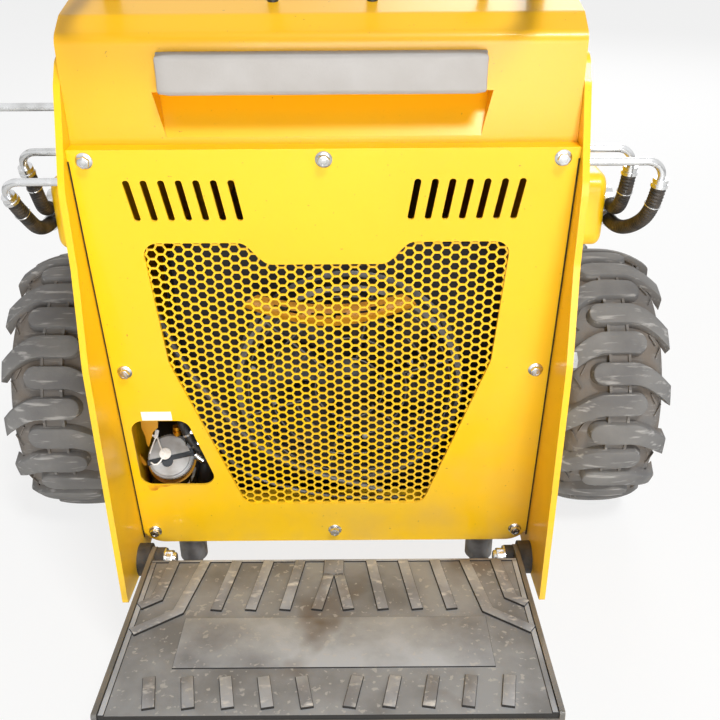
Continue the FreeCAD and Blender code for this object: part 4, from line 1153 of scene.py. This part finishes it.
# ---------------------------------------------------------------- platform deck and its pivots
# A folded deck with welded ears, on two bolts through the side plates.  Rubber discs
# keep the ears off the plates, and two rubber buffers under the beam stop the arms.
rubber = mottled("black_rubber", (44, 43, 43), (84, 78, 70), 0.68, (30.0, 5.0, 0.4, 0.7))
grain(rubber, 420.0, 2.0, 0.00025)
deck_paint = painted("deck_enamel", (104, 102, 98), (82, 80, 77), 0.5, 0.5)
dress(deck_paint, "black_paint", "platform_deck")
dress(zinc, "zinc", "platform_pivot_bolts")
dress(rubber, "rubber", "pivot_discs")
# The buffers' grey is lighter than their dark rubber: a painted highlight for their sheen, over the
# rubber's own mottle.
buffer_rubber_and_sheen = mottled("buffer_rubber_and_sheen", (116, 116, 118), (80, 78, 76), 0.4,
                        (40.0, 5.0, 0.4, 0.75))
dress(buffer_rubber_and_sheen, "rubber", "buffers")
pivot = Vector(joints["platform_fold"]["pos_m"])
ear_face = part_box("platform_deck")[1].x - 0.0245
head_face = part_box("platform_pivot_bolts")[1].x - 0.0095
nuts = bmesh.new()
for side in (-1.0, 1.0):
    place = aimed((side * ear_face, pivot.y, pivot.z), (-side, 0.0, 0.0))
    lathe(nuts, [(-0.001, 0.0), (-0.001, 0.021), (0.0025, 0.021), (0.0025, 0.0)], place, 32)
    hexagon(nuts, place @ moved(z=0.0025), 0.0175, 0.0125)
    lathe(nuts, [(0.015, 0.0), (0.015, 0.0135), (0.019, 0.0125), (0.0205, 0.0105),
                 (0.0205, 0.0)], place, 28)
    head = aimed((side * head_face, pivot.y, pivot.z), (side, 0.0, 0.0))
    hexagon(nuts, head, 0.0183, 0.0125)
finished(nuts, "pivot_nuts", zinc)

# ---------------------------------------------------------------- platform mat
# A moulded rubber mat glued to the deck: raised bars that fan out from the middle, a
# thin rim, and a smooth field behind them.  It is grey with trodden dust, and the walls of
# its bars and rims are painted near-black as painted shade.
slope = math.radians(6.3)
mat_low, mat_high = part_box("platform_mat")
mat_thick = 0.012
bar_rise = 0.004
mat_floor = -bar_rise
mat_foot = mat_floor - 0.001
mat_half = mat_high.x
mat_length = (mat_high.y - mat_low.y - mat_thick * math.sin(slope)) / math.cos(slope)
mat_middle = 0.003
mat_front = 0.011
lip_back = 0.0175
rim_inner = mat_half - 0.009
bar_front = 0.0165
bar_width = 0.019
bar_pitch = 0.057
bar_back = 0.153
mat_place = moved(0.0, mat_high.y, mat_low.z + mat_thick * math.cos(slope))
mat_place = mat_place @ Matrix.Rotation(-slope, 4, "X")
mat = bmesh.new()


def moulded(outline, foot=mat_foot, top=0.0, edge=0.0013):
    """A low moulded pad of the mat: an outline raised from foot to top, its edges rounded."""
    pad = bmesh.new()
    plate(pad, [(x, -back, foot) for x, back in outline], (0.0, 0.0, top - foot))
    eased(pad, edges_above(pad, top - 1e-5), edge)
    join(mat, pad)


def oblong(left, right, front, back):
    """An outline with square corners."""
    return [(left, front), (left, back), (right, back), (right, front)]


def moulded_bar(line):
    """A bar of even width along two or three points."""
    left, right = [], []
    for number, point in enumerate(line):
        before = Vector(line[max(number - 1, 0)])
        after = Vector(line[min(number + 1, len(line) - 1)])
        along = (after - before).normalized()
        ahead = (after - Vector(point)).normalized() if number < len(line) - 1 else along
        stretch = bar_width / 2 / max(ahead.dot(along), 0.5)
        side = Vector((-along.y, along.x)) * stretch
        left.append((point[0] + side.x, point[1] + side.y))
        right.append((point[0] - side.x, point[1] - side.y))
    moulded(left + right[::-1])


moulded(oblong(-mat_half, mat_half, mat_front, mat_length), 0.0002 - mat_thick, mat_floor, 0.0015)
moulded(oblong(-mat_half, mat_half, mat_front, lip_back), mat_foot, mat_floor + 0.0022, 0.0012)
for side in (-1.0, 1.0):
    moulded(oblong(side * mat_half, side * rim_inner, lip_back, mat_length), mat_foot,
            mat_floor + 0.0022, 0.0012)
    for number in range(3):
        x = mat_middle + side * (0.063 + bar_pitch * number)
        moulded_bar([(x, bar_front), (x + side * 0.0185, bar_back)])
    for bent in ([(0.232, bar_front), (0.256, 0.156), (0.322, 0.206)],
                 [(0.288, bar_front), (0.299, 0.122), (0.324, 0.141)]):
        moulded_bar([(mat_middle * 0.5 + side * x, back) for x, back in bent])
    x = mat_middle * 0.3 + side * 0.0085
    moulded_bar([(x, 0.055), (x + side * 0.018, bar_back)])
    for number in range(5):
        x = side * (0.03 + bar_pitch * number)
        moulded_bar([(x + side * 0.012, mat_length - 0.075), (x, mat_length - 0.012)])
moulded([(-0.0175, bar_front), (-0.0185, 0.062), (0.0185, 0.062), (0.0175, bar_front)])
moulded(oblong(-0.24, 0.252, 0.171, mat_length - 0.095), mat_foot, mat_floor + 0.002, 0.001)
rise = mat.verts.layers.float.new("rise")
painted_shade_wall = mat.verts.layers.float.new("painted_shade_wall")
for v in mat.verts:
    level = (v.co.z - mat_floor) / bar_rise
    v[rise] = max(0.0, level)
    v[painted_shade_wall] = 0.0 if min(abs(level - top) for top in (0.0, 0.5, 0.55, 1.0)) < 0.02 else 1.0

mat_rubber = new_finish("trodden_mat", (130, 120, 108), 0.85)


def strewn(scale, detail, low, high, *rest):
    """Patches of dust or wear on the mat."""
    return ramp(cloud(mat_rubber, scale, detail, *rest), low, high)


field = ramp(carried(mat_rubber, "rise"), 0.3, 0.45)
crest = ramp(carried(mat_rubber, "rise"), 0.7, 0.95)
ground = lay(strewn(9.0, 6.0, 0.38, 0.66), (150, 151, 152), (118, 117, 116))
worn = lay(strewn(15.0, 6.0, 0.4, 0.62, (1.0, 0.6, 1.0)), (164, 166, 170), (128, 128, 130))
worn = lay(strewn(60.0, 7.0, 0.58, 0.72, (0.5, 1.0, 1.0), (0.0, 0.0, 0.7)), worn, (206, 203, 199))
smooth = lay(strewn(7.0, 7.0, 0.42, 0.68), (176, 179, 183), (122, 122, 123))
tone = lay(crest, lay(field, ground, smooth), worn)
tone = lay(strewn(6.0, 3.0, 0.6, 0.72), tone, (112, 102, 92))
tone = lay(combine(strewn(95.0, 2.0, 0.62, 0.68), 0.55), tone, (186, 182, 176))
# The walls of the bars and rims are painted near-black: painted shade for the shadow on their
# sides.
tone = lay(ramp(carried(mat_rubber, "painted_shade_wall"), 0.4, 0.9), tone, (38, 36, 34))
drive(mat_rubber, "Base Color", tone)
drive(mat_rubber, "Roughness", ramp(crest, 0.0, 1.0, 0.92, 0.7))
grain(mat_rubber, 300.0, 5.0, 0.0004)
mat_piece = finished(mat, "ribbed_mat", mat_rubber, mat_place, "platform", 30.0)
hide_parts("platform_mat")

# ---------------------------------------------------------------- hydraulic pipes and hoses
# Zinc-plated steel pipes leave the side plates and turn down into swaged ferrules.  From
# there black hoses in a spiral guard sweep forward to the swivels on the arms' pivots.
dress(zinc, "zinc", "pipes_left", "pipes_right", "swivel_fittings_left", "swivel_fittings_right")
hose_guard = mottled("spiral_guard", (36, 34, 33), (72, 64, 56), 0.55, (50.0, 5.0, 0.42, 0.7))
uneven(hose_guard, 90.0, 0.42, 0.7)
arm_face = outermost("lift_arm_right")
guard_radius = 0.0102
guard_rib = 0.0013
rib_pitch = 0.0052
rings_a_rib = 6
hose_routes = {
    "right": [[(0.0414, -0.5344, 0.9261), (0.038, -0.531, 0.882), (0.028, -0.484, 0.840),
               (0.014, -0.432, 0.819), (0.014, -0.382, 0.819)],
              [(0.0157, -0.4644, 0.9240), (0.0145, -0.462, 0.890), (0.014, -0.430, 0.844),
               (0.014, -0.382, 0.844)]],
    "left": [[(0.0223, -0.5203, 0.9041), (0.015, -0.5045, 0.875), (0.014, -0.440, 0.819),
              (0.014, -0.382, 0.819)],
             [(0.0157, -0.4516, 0.9267), (0.014, -0.431, 0.882), (0.014, -0.410, 0.844),
              (0.014, -0.382, 0.844)]]}


def along_line(line, distance):
    """The point and the direction at a distance along a line of points."""
    for start, end in zip(line, line[1:]):
        run = (end - start).length
        if distance <= run or end is line[-1]:
            return start.lerp(end, distance / run), (end - start).normalized()
        distance -= run


for side, name in ((-1.0, "left"), (1.0, "right")):
    hose = bmesh.new()
    bands = bmesh.new()
    for route in hose_routes[name]:
        line = smooth_line([(side * (arm_face + x), rear_axle.y + y, z) for x, y, z in route])
        length = sum((end - start).length for start, end in zip(line, line[1:]))
        rings = int(length / rib_pitch * rings_a_rib)
        sleeve = bmesh.new()
        bmesh.ops.create_grid(sleeve, x_segments=rings, y_segments=18, size=0.5)
        for v in sleeve.verts:
            distance = (v.co.x + 0.5) * length
            turn = (v.co.y + 0.5) * math.tau
            spot, ahead = along_line(line, distance)
            across = (Vector((1.0, 0.0, 0.0)) - ahead * ahead.x).normalized()
            wave = 0.5 + 0.5 * math.cos(math.tau * distance / rib_pitch + turn)
            radius = guard_radius + guard_rib * wave ** 0.6
            v.co = spot + (across * math.cos(turn) + ahead.cross(across) * math.sin(turn)) * radius
        bmesh.ops.remove_doubles(sleeve, verts=sleeve.verts, dist=1e-5)
        bmesh.ops.holes_fill(sleeve, edges=[e for e in sleeve.edges if e.is_boundary], sides=40)
        join(hose, sleeve)
        for distance, half, proud in ((0.003, 0.003, 0.0012), (0.036, 0.0009, 0.0012),
                                      (length - 0.006, 0.006, 0.0022)):
            radius = guard_radius + guard_rib + proud
            lathe(bands, [(-half, guard_radius - 0.002), (-half, radius - 0.0004),
                          (-half + 0.0005, radius), (half - 0.0005, radius),
                          (half, radius - 0.0004), (half, guard_radius - 0.002)],
                  aimed(*along_line(line, distance)), 36)
    hose_piece = finished(hose, "guarded_hoses_" + name, hose_guard, smooth_angle=60.0)
    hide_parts("hoses_" + name)
    finished(bands, "hose_bands_" + name, zinc)

# ---------------------------------------------------------------- bounds of what is shown
low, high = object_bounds()
